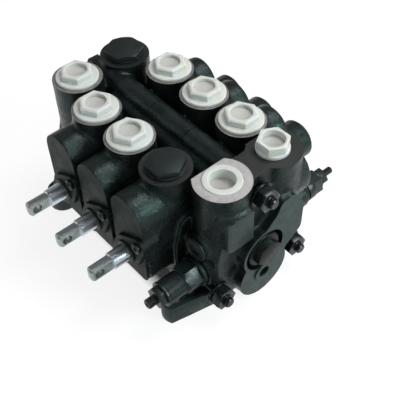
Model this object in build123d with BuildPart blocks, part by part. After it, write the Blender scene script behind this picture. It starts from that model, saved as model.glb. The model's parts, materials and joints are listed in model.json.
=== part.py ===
"""Three-spool sectional directional control valve for mobile hydraulics.

Frame: +X along the stack towards the inlet section, +Y along the spools towards
their spring caps, +Z up. The origin is at the middle of the stack, on the plane
the mounting feet stand on.
"""

import os
from math import cos, radians, sin

from build123d import *

os.makedirs("parts", exist_ok=True)

# Stack
section_pitch = 42.0
work_sections = 3
inlet_depth = 33.0
outlet_depth = 33.0

# Heights above the feet
port_z = 122.0
spool_z = 61.0
tie_low_z = 25.0
tie_high_z = 107.0
plate_bottom_z = 11.0
plate_shoulder_z = 86.0

# Depths along the spools
front_face_y = 75.0
rear_face_y = 71.0
plate_front_y = 49.0
plate_rear_y = 55.0
plate_corner_r = 11.0
shoulder_draw = 7.0

# Work ports
port_y = 36.6
port_boss_r = 19.6
port_boss_root_z = 70.0
port_thread_r = 10.2
port_depth = 17.0
rim_chamfer = 0.7
end_port_front_y = 25.4
end_port_rear_y = 22.1
end_port_inset = 21.0
end_boss_r = 20.6

# Spool housings, front and rear
housing_r = 18.6
housing_top_z = 96.0
housing_foot_z = 35.5
rear_housing_foot_z = 31.0
housing_root_y = 30.0
housing_edge_r = 1.2
housing_corner_r = 5.0

# Ridge over the upper tie rod
ridge_r = 11.0
ridge_bar_r = 8.0
ridge_bar_y = 11.0
ridge_bar_z = 101.0

# Tie rods
tie_rod_r = 5.0
tie_clear = 0.3
tie_front_y = 36.0
tie_rear_y = 42.0
tie_high_y = 4.5
tie_overhang = 15.0
tie_chamfer = 1.0
washer_r = 10.0
washer_t = 2.0
nut_af = 17.0
nut_h = 8.4
nut_seat_r = 12.5

# Spools
spool_r = 7.0
spool_fit = 0.02
spool_shoulder_y = 93.8
spool_tip_y = 112.0
land_groove_r = 4.6
land_groove_w = 9.0
land_groove_y = (-31.0, 0.0, 31.0)
tongue_r = 6.1
tongue_t = 7.5
tongue_hole_r = 4.0
tongue_hole_inset = 6.6
tongue_chamfer = 1.4
shoulder_chamfer = 0.6

# Front seals
seal_pocket_r = 11.5
seal_pocket_depth = 7.0
wiper_r = 11.3
wiper_t = 6.6
wiper_lip_r = 9.4
wiper_lip_t = 1.6
wiper_fit = 0.05
retainer_t = 3.0
retainer_r = 14.0
retainer_bore_r = 9.8
lug_angle = 50.0
lug_centre_r = 23.0
lug_r = 6.8
lug_boss_r = 6.0
lug_boss_l = 14.0

# Small socket-head screws
screw_r = 2.5
screw_head_r = 4.25
screw_head_h = 2.6
screw_grip = 9.0
screw_socket_af = 3.6
screw_socket_depth = 1.6
screw_clear = 0.15

# Rear spring caps
cap_r = 17.0
cap_length = 36.0
cap_bore_r = 12.6
cap_end_wall = 3.5
cap_edge = 2.0
cap_flange_t = 9.0
cap_lug_z = 22.0
cap_lug_r = 6.5
spring_r = 10.6
spring_wire_r = 1.3
spring_turns = 4.5
seat_r = 12.2
seat_t = 2.0
seat_bore_r = 7.4
moving_seat_r = 11.6
stop_shank_r = 4.0
stop_head_r = 6.5
stop_head_h = 4.5
stop_shank_l = 12.0
spring_length = 15.0
rest_gap = 0.3

# Transport caps of the work ports
cap_flange_r = 17.5
cap_flange_h = 2.6
cap_hex_af = 21.6
cap_hex_h = 5.4
cap_recess_r = 8.7
cap_recess_depth = 3.2
cap_shank_r = 10.0
cap_shank_l = 11.0
cap_hex_chamfer = 1.1

# Hexagon port plugs
plug_af = 26.4
plug_h = 4.8
plug_ring_r = 15.4
plug_ring_h = 1.6
plug_shank_r = 10.0
plug_shank_l = 13.0
wide_plug_af = 28.2
plug_corner_cut = 1.2

# Inlet section
inlet_flange_t = 1.5
inlet_front_y = 37.0
inlet_rear_y = 52.0
inlet_port_y = -16.0
inlet_port_setback = 17.5
inlet_boss_r = 21.6
inlet_boss_root_z = 72.0
inlet_thread_r = 15.0
inlet_port_depth = 12.0
inlet_plug_r = 14.85
inlet_plug_proud = 0.8
inlet_plug_length = 10.4
inlet_plug_recess_r = 9.9
inlet_plug_recess_depth = 8.8
tank_port_y = 32.4
tank_port_setback = 16.6
tank_boss_y = 34.0
tank_boss_setback = 16.0
tank_boss_r = 21.1
tank_boss_root_z = 60.0
gallery_boss_r = 22.3
gallery_boss_z = 90.0
gallery_boss_rear_y = 55.4
tank_cap_collar_r = 12.9
tank_cap_collar_h = 3.0
tank_cap_hex_af = 22.0
tank_cap_hex_h = 6.6
tank_cap_recess_r = 9.0
tank_cap_recess_depth = 5.5
tank_thread_r = 9.2
tank_cap_shank_r = 9.0
bridge_inset = 4.8
bridge_y = 21.0
bridge_reach = 29.2
bridge_t = 24.0

# Flats and lobe on the outer side of the inlet section, the outline of the flat as (Y, Z)
pad_x_proud = 6.0
pad_y = -19.0
pad_w = 25.0
pad_z = 87.0
pad_h = 31.0
pad_corner = 4.0
flat_proud = 9.0
lobe_y = 4.7
lobe_z = 24.5
lobe_hole_r = 5.1
lobe_hole_depth = 16.0
notch_y = 4.5
notch_z = 51.0
notch_r = 19.2
notch_rim = 2.6
flat_left_y = 15.5
flat_crown_y = 19.5
flat_top_z = 93.0
flat_peak_y = 32.5
flat_peak_z = 94.0
flat_right_y = 44.5
flat_shoulder_z = 76.0
flat_low_z = 49.0
flat_heel_y = 38.5
flat_heel_z = 43.0
flat_root_y = 26.7
flat_root_z = 34.5
lobe_pad_r = 9.6
lobe_pad_step = 1.2
gallery_flange_r = 17.4
gallery_flange_t = 3.0
gallery_collar_r = 15.8
gallery_collar_t = 5.6
gallery_rim = 0.9
gallery_hex_af = 21.0
gallery_hex_h = 5.6
gallery_hex_turn = 15.0
gallery_shank_r = 11.0
gallery_shank_l = 12.0

# Relief valves, the front one with a long barrel and the rear one short
relief_wall = 1.9
relief_shank_r = 9.0
relief_shank_l = 15.0
relief_hex_turn = 10.0
bore_relief = 1.0
adjuster_travel = 3.0
adjuster_fit = 0.05

front_relief_z = 41.0
front_relief_boss_r = 15.6
front_relief_boss_y = 41.0
front_collar_r = 13.4
front_collar_l = 4.0
front_hex_af = 22.0
front_hex_l = 12.0
front_neck_r = 11.2
front_neck_l = 1.6
front_barrel_r = 10.0
front_barrel_l = 15.6
front_washer_r = 10.4
front_washer_t = 2.2
front_nut_af = 16.0
front_nut_h = 5.6
front_adjuster_r = 4.0
front_adjuster_l = 33.0
front_adjuster_proud = 8.0
front_socket_af = 3.4

rear_relief_z = 47.0
rear_relief_boss_r = 12.6
rear_relief_boss_y = 71.0
rear_collar_r = 10.4
rear_collar_l = 2.6
rear_body_r = 11.0
rear_body_l = 7.0
rear_hex_af = 19.0
rear_hex_l = 8.8
rear_washer_r = 8.4
rear_washer_t = 2.0
rear_nut_af = 13.0
rear_nut_h = 7.0
rear_adjuster_r = 3.0
rear_adjuster_l = 26.0
rear_adjuster_proud = 10.8
rear_socket_af = 2.6

# Upper front plug of the inlet section
check_z = 67.0
check_boss_r = 12.5
check_boss_y = 41.0
check_ring_r = 10.5
check_ring_h = 3.0
check_rim = 1.0
check_socket_af = 10.0
check_socket_depth = 2.4
check_shank_r = 7.0
check_shank_l = 12.0

# Mounting feet
foot_t = 19.0
foot_hole_r = 5.5
foot_end_r = 12.0
foot_y = 62.0
foot_neck_gap = 2.0
inlet_foot_setback = 21.5
inlet_foot_front_y = 71.0
inlet_foot_toe_y = 73.0
inlet_foot_toe_inset = 12.0
inlet_foot_left_y = 70.0
inlet_foot_left_inset = 4.0
inlet_foot_flank_y = 60.0
inlet_foot_right_setback = 14.0
inlet_foot_heel_setback = 5.5
inlet_foot_heel_y = 34.0

half_pitch = section_pitch / 2
stack_half = work_sections * half_pitch
section_x = [(i - (work_sections - 1) / 2) * section_pitch for i in range(work_sections)]
inlet_x = stack_half
inlet_face_x = inlet_x + inlet_depth
outlet_x = -stack_half
outlet_face_x = outlet_x - outlet_depth
inlet_port_x = inlet_face_x - inlet_port_setback
tank_port_x = inlet_face_x - tank_port_setback
tank_boss_x = inlet_face_x - tank_boss_setback
relief_x = inlet_x + front_collar_r + relief_wall
foot_right_x = inlet_face_x - inlet_foot_right_setback
foot_heel_x = inlet_face_x - inlet_foot_heel_setback
end_port_x = outlet_x - end_port_inset
flat_x = inlet_face_x + flat_proud
pad_x = inlet_face_x + pad_x_proud
lobe_r = lobe_z
end_ports = [(end_port_x, -end_port_front_y), (end_port_x, end_port_rear_y)]
tie_points = [(-tie_front_y, tie_low_z), (tie_rear_y, tie_low_z), (tie_high_y, tie_high_z)]


def keep(piece, label):
    """Label a finished solid and write it."""
    piece.label = label
    export_step(piece, f"parts/{label}.step")


def plate_outline(front_y, rear_y):
    """Side profile of a casting as (Y, Z): flat foot, upright flanks, drawn-in shoulders."""
    with BuildSketch() as outline:
        with BuildLine():
            Polyline(
                (-front_y, plate_bottom_z),
                (rear_y, plate_bottom_z),
                (rear_y, spool_z),
                (rear_y - shoulder_draw, plate_shoulder_z),
                (-front_y + shoulder_draw, plate_shoulder_z),
                (-front_y, spool_z),
                close=True,
            )
        make_face()
        fillet(outline.vertices(), plate_corner_r)
    return outline.sketch


def on_side(outline, x):
    """Place a profile drawn as (Y, Z) on the plane at the given X."""
    return Plane.YZ.offset(x) * outline


plate = plate_outline(plate_front_y, plate_rear_y)

# A work section: mating plate, two spool housings, two vertical port bosses and the ridge
with BuildPart() as work_section:
    extrude(on_side(plate, -half_pitch), amount=section_pitch)
    for face_y, foot_z in ((front_face_y, housing_foot_z), (-rear_face_y, rear_housing_foot_z)):
        with BuildSketch(Plane.XZ.offset(face_y)) as housing:
            with Locations((0, housing_top_z)):
                Circle(housing_r)
                Rectangle(2 * housing_r, housing_top_z - foot_z, align=(Align.CENTER, Align.MAX))
            fillet(housing.vertices().group_by(Axis.Z)[0], housing_corner_r)
        extrude(amount=-face_y + (housing_root_y if face_y > 0 else -housing_root_y))
    with BuildSketch(Plane.XY.offset(port_z)):
        with Locations((0, -port_y), (0, port_y)):
            Circle(port_boss_r)
    extrude(amount=port_boss_root_z - port_z)
    with BuildSketch(Plane.YZ.offset(-half_pitch)):
        with Locations((tie_high_y, tie_high_z)):
            Circle(ridge_r)
        with Locations((tie_high_y - ridge_bar_y, ridge_bar_z)):
            Circle(ridge_bar_r)
        with Locations((tie_high_y, ridge_bar_z)):
            Rectangle(2 * ridge_r, tie_high_z - plate_shoulder_z + ridge_r, align=(Align.CENTER, Align.MAX))
    extrude(amount=section_pitch)
    fillet(work_section.faces().sort_by(Axis.Y)[0].outer_wire().edges(), housing_edge_r)
    fillet(work_section.faces().sort_by(Axis.Y)[-1].outer_wire().edges(), housing_edge_r)
    chamfer(work_section.faces().sort_by(Axis.Z)[-2:].edges(), rim_chamfer)
    with BuildSketch(Plane.XZ.offset(front_face_y)):
        with Locations((0, spool_z)):
            with PolarLocations(lug_centre_r, 2, start_angle=lug_angle):
                Circle(lug_boss_r)
    extrude(amount=-lug_boss_l)
    with BuildSketch(Plane.XZ.offset(front_face_y)):
        with Locations((0, spool_z)):
            Circle(spool_r + spool_fit)
    extrude(amount=-(front_face_y + rear_face_y), mode=Mode.SUBTRACT)
    with BuildSketch(Plane.XZ.offset(front_face_y)):
        with Locations((0, spool_z)):
            Circle(seal_pocket_r)
    extrude(amount=-seal_pocket_depth, mode=Mode.SUBTRACT)
    with BuildSketch(Plane.XY.offset(port_z)):
        with Locations((0, -port_y), (0, port_y)):
            Circle(port_thread_r)
    extrude(amount=-port_depth, mode=Mode.SUBTRACT)
    with BuildSketch(Plane.YZ.offset(-half_pitch)):
        with Locations(*tie_points):
            Circle(tie_rod_r + tie_clear)
    extrude(amount=section_pitch, mode=Mode.SUBTRACT)
    with BuildSketch(Plane.XZ.offset(front_face_y)):
        with Locations((0, spool_z)):
            with PolarLocations(lug_centre_r, 2, start_angle=lug_angle):
                Circle(screw_r)
    extrude(amount=-screw_grip, mode=Mode.SUBTRACT)
    with BuildSketch(Plane.XZ.offset(-rear_face_y)):
        with Locations((0, spool_z + cap_lug_z), (0, spool_z - cap_lug_z)):
            Circle(screw_r)
    extrude(amount=screw_grip, mode=Mode.SUBTRACT)

for number, x in enumerate(section_x, start=1):
    keep(work_section.part.moved(Location((x, 0, 0))), f"work_section_{number}")

# End section at the far side of the stack, with the tank port and a carry-over port
with BuildPart() as outlet_section:
    extrude(on_side(plate, outlet_face_x), amount=outlet_depth)
    with BuildSketch(Plane.XY.offset(port_z)):
        with Locations(*end_ports):
            Circle(end_boss_r)
    extrude(amount=plate_bottom_z + plate_corner_r - port_z)
    with BuildSketch(Plane.YZ.offset(outlet_x)):
        with Locations((tie_high_y, tie_high_z)):
            Circle(ridge_r)
        with Locations((tie_high_y, tie_high_z)):
            Rectangle(2 * ridge_r, tie_high_z - plate_shoulder_z + ridge_r, align=(Align.CENTER, Align.MAX))
    extrude(amount=-outlet_depth)
    for side in (-1, 1):
        with BuildSketch():
            with BuildLine():
                ends = [end_port_x - foot_end_r, end_port_x + foot_end_r]
                neck_x = outlet_x - foot_neck_gap
                Line((ends[0], side * (foot_y - foot_end_r)), (ends[0], side * foot_y))
                ThreePointArc(
                    (ends[0], side * foot_y),
                    (end_port_x, side * (foot_y + foot_end_r)),
                    (ends[1], side * foot_y),
                )
                Line((ends[1], side * foot_y), (ends[1], side * (foot_y - foot_end_r)))
                Line((ends[1], side * (foot_y - foot_end_r)), (neck_x, side * tie_front_y))
                Line((neck_x, side * tie_front_y), (outlet_face_x, side * tie_front_y))
                Line((outlet_face_x, side * tie_front_y), (ends[0], side * (foot_y - foot_end_r)))
            make_face()
        extrude(amount=foot_t)
    chamfer(outlet_section.faces().sort_by(Axis.Z)[-2:].edges(), rim_chamfer)
    with BuildSketch():
        with Locations((end_port_x, -foot_y), (end_port_x, foot_y)):
            Circle(foot_hole_r)
    extrude(amount=foot_t, mode=Mode.SUBTRACT)
    with BuildSketch(Plane.XY.offset(port_z)):
        with Locations(*end_ports):
            Circle(port_thread_r)
    extrude(amount=-port_depth, mode=Mode.SUBTRACT)
    with BuildSketch(Plane.YZ.offset(outlet_x)):
        with Locations(*tie_points):
            Circle(tie_rod_r + tie_clear)
    extrude(amount=-2 * outlet_depth, mode=Mode.SUBTRACT)
    with BuildSketch(Plane.YZ.offset(outlet_face_x)):
        with Locations(*tie_points):
            Circle(nut_seat_r)
    extrude(amount=-outlet_depth, mode=Mode.SUBTRACT)
keep(outlet_section.part, "outlet_end_section")

# Inlet section: pressure and tank bosses, relief bosses, machined flats, lobe and one foot
with BuildPart() as inlet_section:
    extrude(on_side(plate, inlet_x), amount=inlet_flange_t)
    extrude(on_side(plate_outline(inlet_front_y, inlet_rear_y), inlet_x), amount=inlet_depth)
    with BuildSketch(Plane.XY.offset(port_z)):
        with Locations((inlet_port_x, inlet_port_y)):
            Circle(inlet_boss_r)
    extrude(amount=inlet_boss_root_z - port_z)
    with BuildSketch(Plane.XY.offset(port_z)):
        with Locations((tank_boss_x, tank_boss_y)):
            Circle(tank_boss_r)
    extrude(amount=tank_boss_root_z - port_z)
    with BuildSketch(Plane.XZ.offset(-gallery_boss_rear_y)):
        with Locations((relief_x, gallery_boss_z)):
            Circle(gallery_boss_r)
    extrude(amount=gallery_boss_rear_y - bridge_y)
    with BuildSketch(Plane.XY.offset(port_z)):
        with Locations((inlet_x + bridge_inset, bridge_y)):
            Rectangle(
                bridge_reach - bridge_inset, bridge_y - inlet_port_y, align=(Align.MIN, Align.MAX)
            )
    extrude(amount=-bridge_t)
    with BuildSketch(Plane.YZ.offset(inlet_x)):
        with Locations((tie_high_y, tie_high_z)):
            Circle(ridge_r)
        with Locations((tie_high_y, tie_high_z)):
            Rectangle(2 * ridge_r, tie_high_z - plate_shoulder_z + ridge_r, align=(Align.CENTER, Align.MAX))
    extrude(amount=bridge_inset + ridge_r)
    with BuildSketch(Plane.YZ.offset(inlet_x)):
        with Locations((tie_high_y, tie_high_z)):
            Rectangle(2 * nut_seat_r, bridge_t, align=(Align.CENTER, Align.MAX))
    extrude(amount=inlet_depth)
    with BuildSketch(Plane.XZ.offset(front_relief_boss_y)):
        with Locations((relief_x, front_relief_z)):
            Circle(front_relief_boss_r)
    extrude(amount=-front_relief_boss_y)
    with BuildSketch(Plane.XZ.offset(check_boss_y)):
        with Locations((relief_x, check_z)):
            Circle(check_boss_r)
    extrude(amount=-check_boss_y)
    with BuildSketch(Plane.XZ.offset(-rear_relief_boss_y)):
        with Locations((relief_x, rear_relief_z)):
            Circle(rear_relief_boss_r)
    extrude(amount=rear_relief_boss_y)
    # Machined pad under the pressure port
    with BuildSketch(Plane.YZ.offset(pad_x)) as pad:
        with Locations((pad_y, pad_z)):
            Rectangle(pad_w, pad_h)
        chamfer(pad.vertices().group_by(Axis.Y)[0].sort_by(Axis.Z)[-1], pad_corner)
    extrude(amount=-(pad_x - inlet_port_x))
    # Flat with the lobe, both on one plane
    with BuildSketch(Plane.YZ.offset(flat_x)) as flats:
        with Locations((lobe_y, lobe_z)):
            Circle(lobe_r)
        with Locations((notch_y, notch_z)):
            Circle(notch_r + notch_rim)
        with BuildLine():
            Polyline(
                (notch_y, notch_z + notch_r + notch_rim),
                (flat_left_y, flat_top_z - notch_r / 2),
                (flat_crown_y, flat_top_z),
                (flat_peak_y, flat_peak_z),
                (flat_right_y, flat_shoulder_z),
                (flat_right_y, flat_low_z),
                (flat_heel_y, flat_heel_z),
                (flat_root_y, flat_root_z),
                (notch_y, notch_z),
                close=True,
            )
        make_face()
        with Locations((notch_y, notch_z)):
            Circle(notch_r, mode=Mode.SUBTRACT)
    extrude(amount=-(flat_x - relief_x))
    with BuildSketch(Plane.YZ.offset(flat_x)):
        with Locations((lobe_y, lobe_z)):
            Circle(lobe_pad_r)
    extrude(amount=lobe_pad_step)
    # Mounting foot
    with BuildSketch():
        with BuildLine():
            Polyline(
                (foot_right_x, -inlet_foot_front_y),
                (foot_heel_x, -inlet_foot_heel_y),
                (foot_heel_x, 0),
                (inlet_x, 0),
                (inlet_x, -inlet_foot_flank_y),
                (inlet_x + inlet_foot_left_inset, -inlet_foot_left_y),
            )
            ThreePointArc(
                (inlet_x + inlet_foot_left_inset, -inlet_foot_left_y),
                (inlet_x + inlet_foot_toe_inset, -inlet_foot_toe_y),
                (foot_right_x, -inlet_foot_front_y),
            )
        make_face()
    extrude(amount=foot_t)
    with BuildSketch(Plane.YZ.offset(inlet_x)):
        Rectangle(4 * inlet_rear_y, 2 * port_z, align=(Align.CENTER, Align.CENTER))
    extrude(amount=-inlet_depth, mode=Mode.SUBTRACT)
    # Holes
    with BuildSketch(Plane.XY.offset(port_z)):
        with Locations((inlet_port_x, inlet_port_y)):
            Circle(inlet_thread_r)
    extrude(amount=-inlet_port_depth, mode=Mode.SUBTRACT)
    with BuildSketch(Plane.XY.offset(port_z)):
        with Locations((tank_port_x, tank_port_y)):
            Circle(tank_thread_r)
    extrude(amount=-port_depth, mode=Mode.SUBTRACT)
    with BuildSketch(Plane.XZ.offset(front_relief_boss_y)):
        with Locations((relief_x, front_relief_z)):
            Circle(relief_shank_r)
    extrude(amount=-relief_shank_l - bore_relief, mode=Mode.SUBTRACT)
    with BuildSketch(Plane.XZ.offset(-rear_relief_boss_y)):
        with Locations((relief_x, rear_relief_z)):
            Circle(relief_shank_r)
    extrude(amount=relief_shank_l + bore_relief, mode=Mode.SUBTRACT)
    with BuildSketch(Plane.XZ.offset(check_boss_y)):
        with Locations((relief_x, check_z)):
            Circle(check_shank_r)
    extrude(amount=-check_shank_l - bore_relief, mode=Mode.SUBTRACT)
    with BuildSketch(Plane.YZ.offset(inlet_x)):
        with Locations(*tie_points):
            Circle(tie_rod_r + tie_clear)
    extrude(amount=2 * inlet_depth, mode=Mode.SUBTRACT)
    with BuildSketch(Plane.YZ.offset(inlet_face_x)):
        with Locations(*tie_points):
            Circle(nut_seat_r)
    extrude(amount=inlet_depth, mode=Mode.SUBTRACT)
    with BuildSketch(Plane.YZ.offset(flat_x + lobe_pad_step)):
        with Locations((lobe_y, lobe_z)):
            Circle(lobe_hole_r)
    extrude(amount=-lobe_hole_depth, mode=Mode.SUBTRACT)
    with BuildSketch(Plane.YZ.offset(inlet_face_x)):
        with Locations((notch_y, notch_z)):
            Circle(gallery_shank_r)
    extrude(amount=-gallery_shank_l - bore_relief, mode=Mode.SUBTRACT)
    with BuildSketch():
        with Locations((inlet_face_x - inlet_foot_setback, -foot_y)):
            Circle(foot_hole_r)
    extrude(amount=foot_t, mode=Mode.SUBTRACT)
keep(inlet_section.part, "inlet_section")


def socket_screws(face, points, grip):
    """Socket-head cap screws standing on a plane, shanks pointing into it."""
    with BuildPart() as screws:
        with BuildSketch(face):
            with Locations(*points):
                Circle(screw_head_r)
        extrude(amount=screw_head_h)
        with BuildSketch(face):
            with Locations(*points):
                Circle(screw_r - screw_clear)
        extrude(amount=-grip)
        with BuildSketch(face.offset(screw_head_h)):
            with Locations(*points):
                RegularPolygon(screw_socket_af / 2, 6, major_radius=False)
        extrude(amount=-screw_socket_depth, mode=Mode.SUBTRACT)
    return screws.part


# Tie rods clamp the stack; each carries a washer and a nut at both ends
tie_tip_x = inlet_face_x + tie_overhang
with BuildPart() as tie_rods:
    with BuildSketch(Plane.YZ.offset(-tie_tip_x)):
        with Locations(*tie_points):
            Circle(tie_rod_r)
    extrude(amount=2 * tie_tip_x)
    chamfer(tie_rods.faces().filter_by(Axis.X).edges(), tie_chamfer)
keep(tie_rods.part, "tie_rods")

with BuildPart() as tie_washers:
    for seat_x, out in ((inlet_face_x, 1), (outlet_face_x, -1)):
        with BuildSketch(Plane.YZ.offset(seat_x)):
            with Locations(*tie_points):
                Circle(washer_r)
                Circle(tie_rod_r + tie_clear, mode=Mode.SUBTRACT)
        extrude(amount=out * washer_t)
keep(tie_washers.part, "tie_rod_washers")

with BuildPart() as tie_nuts:
    for seat_x, out in ((inlet_face_x + washer_t, 1), (outlet_face_x - washer_t, -1)):
        with BuildSketch(Plane.YZ.offset(seat_x)):
            with Locations(*tie_points):
                RegularPolygon(nut_af / 2, 6, major_radius=False)
        extrude(amount=out * nut_h)
    with BuildSketch(Plane.YZ.offset(-tie_tip_x)):
        with Locations(*tie_points):
            Circle(tie_rod_r)
    extrude(amount=2 * tie_tip_x, mode=Mode.SUBTRACT)
keep(tie_nuts.part, "tie_rod_nuts")

# Spool: lands and grooves, a shoulder and a flattened tongue with a cross hole
with BuildPart() as spool:
    with BuildSketch(Plane.XZ.offset(spool_shoulder_y)):
        with Locations((0, spool_z)):
            Circle(spool_r)
    extrude(amount=-(spool_shoulder_y + rear_face_y))
    chamfer(spool.edges().group_by(Axis.Y)[0], shoulder_chamfer)
    for groove_y in land_groove_y:
        with BuildSketch(Plane.XZ.offset(-groove_y + land_groove_w / 2)):
            with Locations((0, spool_z)):
                Circle(2 * spool_r)
                Circle(land_groove_r, mode=Mode.SUBTRACT)
        extrude(amount=-land_groove_w, mode=Mode.SUBTRACT)
    with BuildSketch(Plane.XZ.offset(spool_shoulder_y)):
        with Locations((0, spool_z)):
            Circle(tongue_r)
            Rectangle(tongue_t, 2 * tongue_r, mode=Mode.INTERSECT)
    extrude(amount=spool_tip_y - spool_shoulder_y)
    chamfer(spool.edges().group_by(Axis.Y)[0], tongue_chamfer)
    with BuildSketch(Plane.YZ.offset(-tongue_r)):
        with Locations((-spool_tip_y + tongue_hole_inset, spool_z)):
            Circle(tongue_hole_r)
    extrude(amount=2 * tongue_r, mode=Mode.SUBTRACT)
    with BuildSketch(Plane.XZ.offset(-rear_face_y)):
        with Locations((0, spool_z)):
            Circle(stop_shank_r)
    extrude(amount=stop_shank_l, mode=Mode.SUBTRACT)

# Stop bolt in the rear end of the spool, carrying the moving spring seat
seat_front_y = rear_face_y + seat_t + spring_length
with BuildPart() as stop_bolt:
    with BuildSketch(Plane.XZ.offset(-rear_face_y + stop_shank_l - rest_gap)):
        with Locations((0, spool_z)):
            Circle(stop_shank_r)
    extrude(amount=-(seat_front_y + seat_t - rear_face_y + stop_shank_l - rest_gap))
    with BuildSketch(Plane.XZ.offset(-seat_front_y - seat_t)):
        with Locations((0, spool_z)):
            Circle(stop_head_r)
    extrude(amount=-stop_head_h)
    chamfer(stop_bolt.edges().group_by(Axis.Y)[-1], shoulder_chamfer)

with BuildPart() as moving_seat:
    with BuildSketch(Plane.XZ.offset(-seat_front_y)):
        with Locations((0, spool_z)):
            Circle(moving_seat_r)
            Circle(stop_shank_r + spool_fit, mode=Mode.SUBTRACT)
    extrude(amount=-seat_t)

with BuildPart() as fixed_seat:
    with BuildSketch(Plane.XZ.offset(-rear_face_y)):
        with Locations((0, spool_z)):
            Circle(seat_r)
            Circle(seat_bore_r, mode=Mode.SUBTRACT)
    extrude(amount=-seat_t)

# Centring spring, a coil of square-edged wire between the two seats
coil_start_y = rear_face_y + seat_t + rest_gap + spring_wire_r
coil_span = spring_length - 2 * (rest_gap + spring_wire_r)
with BuildPart() as spring:
    with BuildLine() as coil:
        Helix(
            coil_span / spring_turns,
            coil_span,
            spring_r - spring_wire_r,
            center=(0, coil_start_y, spool_z),
            direction=(0, 1, 0),
        )
    with BuildSketch(Plane(origin=coil.line @ 0, z_dir=coil.line % 0)):
        Circle(spring_wire_r)
    sweep()

# Spring cap: turned cylinder on a two-lug flange, bored for the spring
with BuildPart() as spring_cap:
    with BuildSketch(Plane.XZ.offset(-rear_face_y)):
        with Locations((0, spool_z)):
            Circle(cap_r)
    extrude(amount=-cap_length)
    chamfer(spring_cap.edges().group_by(Axis.Y)[-1], cap_edge)
    with BuildSketch(Plane.XZ.offset(-rear_face_y)) as flange:
        with Locations((0, spool_z + cap_lug_z), (0, spool_z), (0, spool_z - cap_lug_z)):
            Circle(cap_lug_r)
        make_hull()
        with Locations((0, spool_z)):
            Circle(cap_r)
    extrude(amount=-cap_flange_t)
    with BuildSketch(Plane.XZ.offset(-rear_face_y)):
        with Locations((0, spool_z)):
            Circle(cap_bore_r)
    extrude(amount=-(cap_length - cap_end_wall), mode=Mode.SUBTRACT)
    with BuildSketch(Plane.XZ.offset(-rear_face_y)):
        with Locations((0, spool_z + cap_lug_z), (0, spool_z - cap_lug_z)):
            Circle(screw_r)
    extrude(amount=-cap_flange_t, mode=Mode.SUBTRACT)

# Wiper seal with a raised lip round the spool, and the two-lug plate that holds it
with BuildPart() as wiper:
    with BuildSketch(Plane.XZ.offset(front_face_y)):
        with Locations((0, spool_z)):
            Circle(wiper_r)
    extrude(amount=-wiper_t)
    with BuildSketch(Plane.XZ.offset(front_face_y)):
        with Locations((0, spool_z)):
            Circle(wiper_lip_r)
    extrude(amount=retainer_t + wiper_lip_t)
    with BuildSketch(Plane.XZ.offset(front_face_y - wiper_t)):
        with Locations((0, spool_z)):
            Circle(spool_r + wiper_fit)
    extrude(amount=wiper_t + retainer_t + wiper_lip_t, mode=Mode.SUBTRACT)

with BuildPart() as retainer:
    with BuildSketch(Plane.XZ.offset(front_face_y)):
        with Locations((0, spool_z)):
            Circle(retainer_r)
            with PolarLocations(lug_centre_r, 2, start_angle=lug_angle):
                Circle(lug_r)
        make_hull()
    extrude(amount=retainer_t)
    with BuildSketch(Plane.XZ.offset(front_face_y)):
        with Locations((0, spool_z)):
            Circle(retainer_bore_r)
            with PolarLocations(lug_centre_r, 2, start_angle=lug_angle):
                Circle(screw_r)
    extrude(amount=retainer_t, mode=Mode.SUBTRACT)

lug_x = lug_centre_r * cos(radians(lug_angle))
lug_z = lug_centre_r * sin(radians(lug_angle))
retainer_screws = socket_screws(
    Plane.XZ.offset(front_face_y + retainer_t),
    [(lug_x, spool_z + lug_z), (-lug_x, spool_z - lug_z)],
    retainer_t + screw_grip - rest_gap,
)
cap_screws = socket_screws(
    Plane(origin=(0, rear_face_y + cap_flange_t, 0), x_dir=(-1, 0, 0), z_dir=(0, 1, 0)),
    [(0, spool_z + cap_lug_z), (0, spool_z - cap_lug_z)],
    cap_flange_t + screw_grip - rest_gap,
)

per_section = {
    "spool": spool,
    "stop_bolt": stop_bolt,
    "moving_spring_seat": moving_seat,
    "fixed_spring_seat": fixed_seat,
    "centring_spring": spring,
    "spring_cap": spring_cap,
    "spool_wiper": wiper,
    "wiper_retainer": retainer,
}
for number, x in enumerate(section_x, start=1):
    for name, piece in per_section.items():
        keep(piece.part.moved(Location((x, 0, 0))), f"{name}_{number}")
for name, screws in (("wiper_retainer_screws", retainer_screws), ("spring_cap_screws", cap_screws)):
    sets = [screws.moved(Location((x, 0, 0))) for x in section_x]
    keep(Compound(children=[solid for group in sets for solid in group.solids()]), name)

# Transport cap: flange, raised hexagon with a shallow dish, and a shank in the port
with BuildPart() as port_cap:
    with BuildSketch(Plane.XY.offset(port_z)):
        Circle(cap_flange_r)
    extrude(amount=cap_flange_h)
    chamfer(port_cap.edges().group_by(Axis.Z)[-1], rim_chamfer)
    with BuildSketch(Plane.XY.offset(port_z + cap_flange_h)):
        RegularPolygon(cap_hex_af / 2, 6, major_radius=False)
    extrude(amount=cap_hex_h)
    chamfer(port_cap.edges().group_by(Axis.Z)[-1], cap_hex_chamfer)
    with BuildSketch(Plane.XY.offset(port_z)):
        Circle(cap_shank_r)
    extrude(amount=-cap_shank_l)
    with BuildSketch(Plane.XY.offset(port_z + cap_flange_h + cap_hex_h)):
        Circle(cap_recess_r)
    extrude(amount=-cap_recess_depth, mode=Mode.SUBTRACT)

front_ports = [(x, -port_y) for x in section_x]
rear_ports = [(x, port_y) for x in section_x]
capped = {
    "port_cap_tank": end_ports[0],
    "port_cap_front_1": front_ports[0],
    "port_cap_front_2": front_ports[1],
    "port_cap_rear_1": rear_ports[0],
    "port_cap_rear_2": rear_ports[1],
    "port_cap_rear_3": rear_ports[2],
}
for label, (x, y) in capped.items():
    keep(port_cap.part.moved(Location((x, y, 0))), label)

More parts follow.
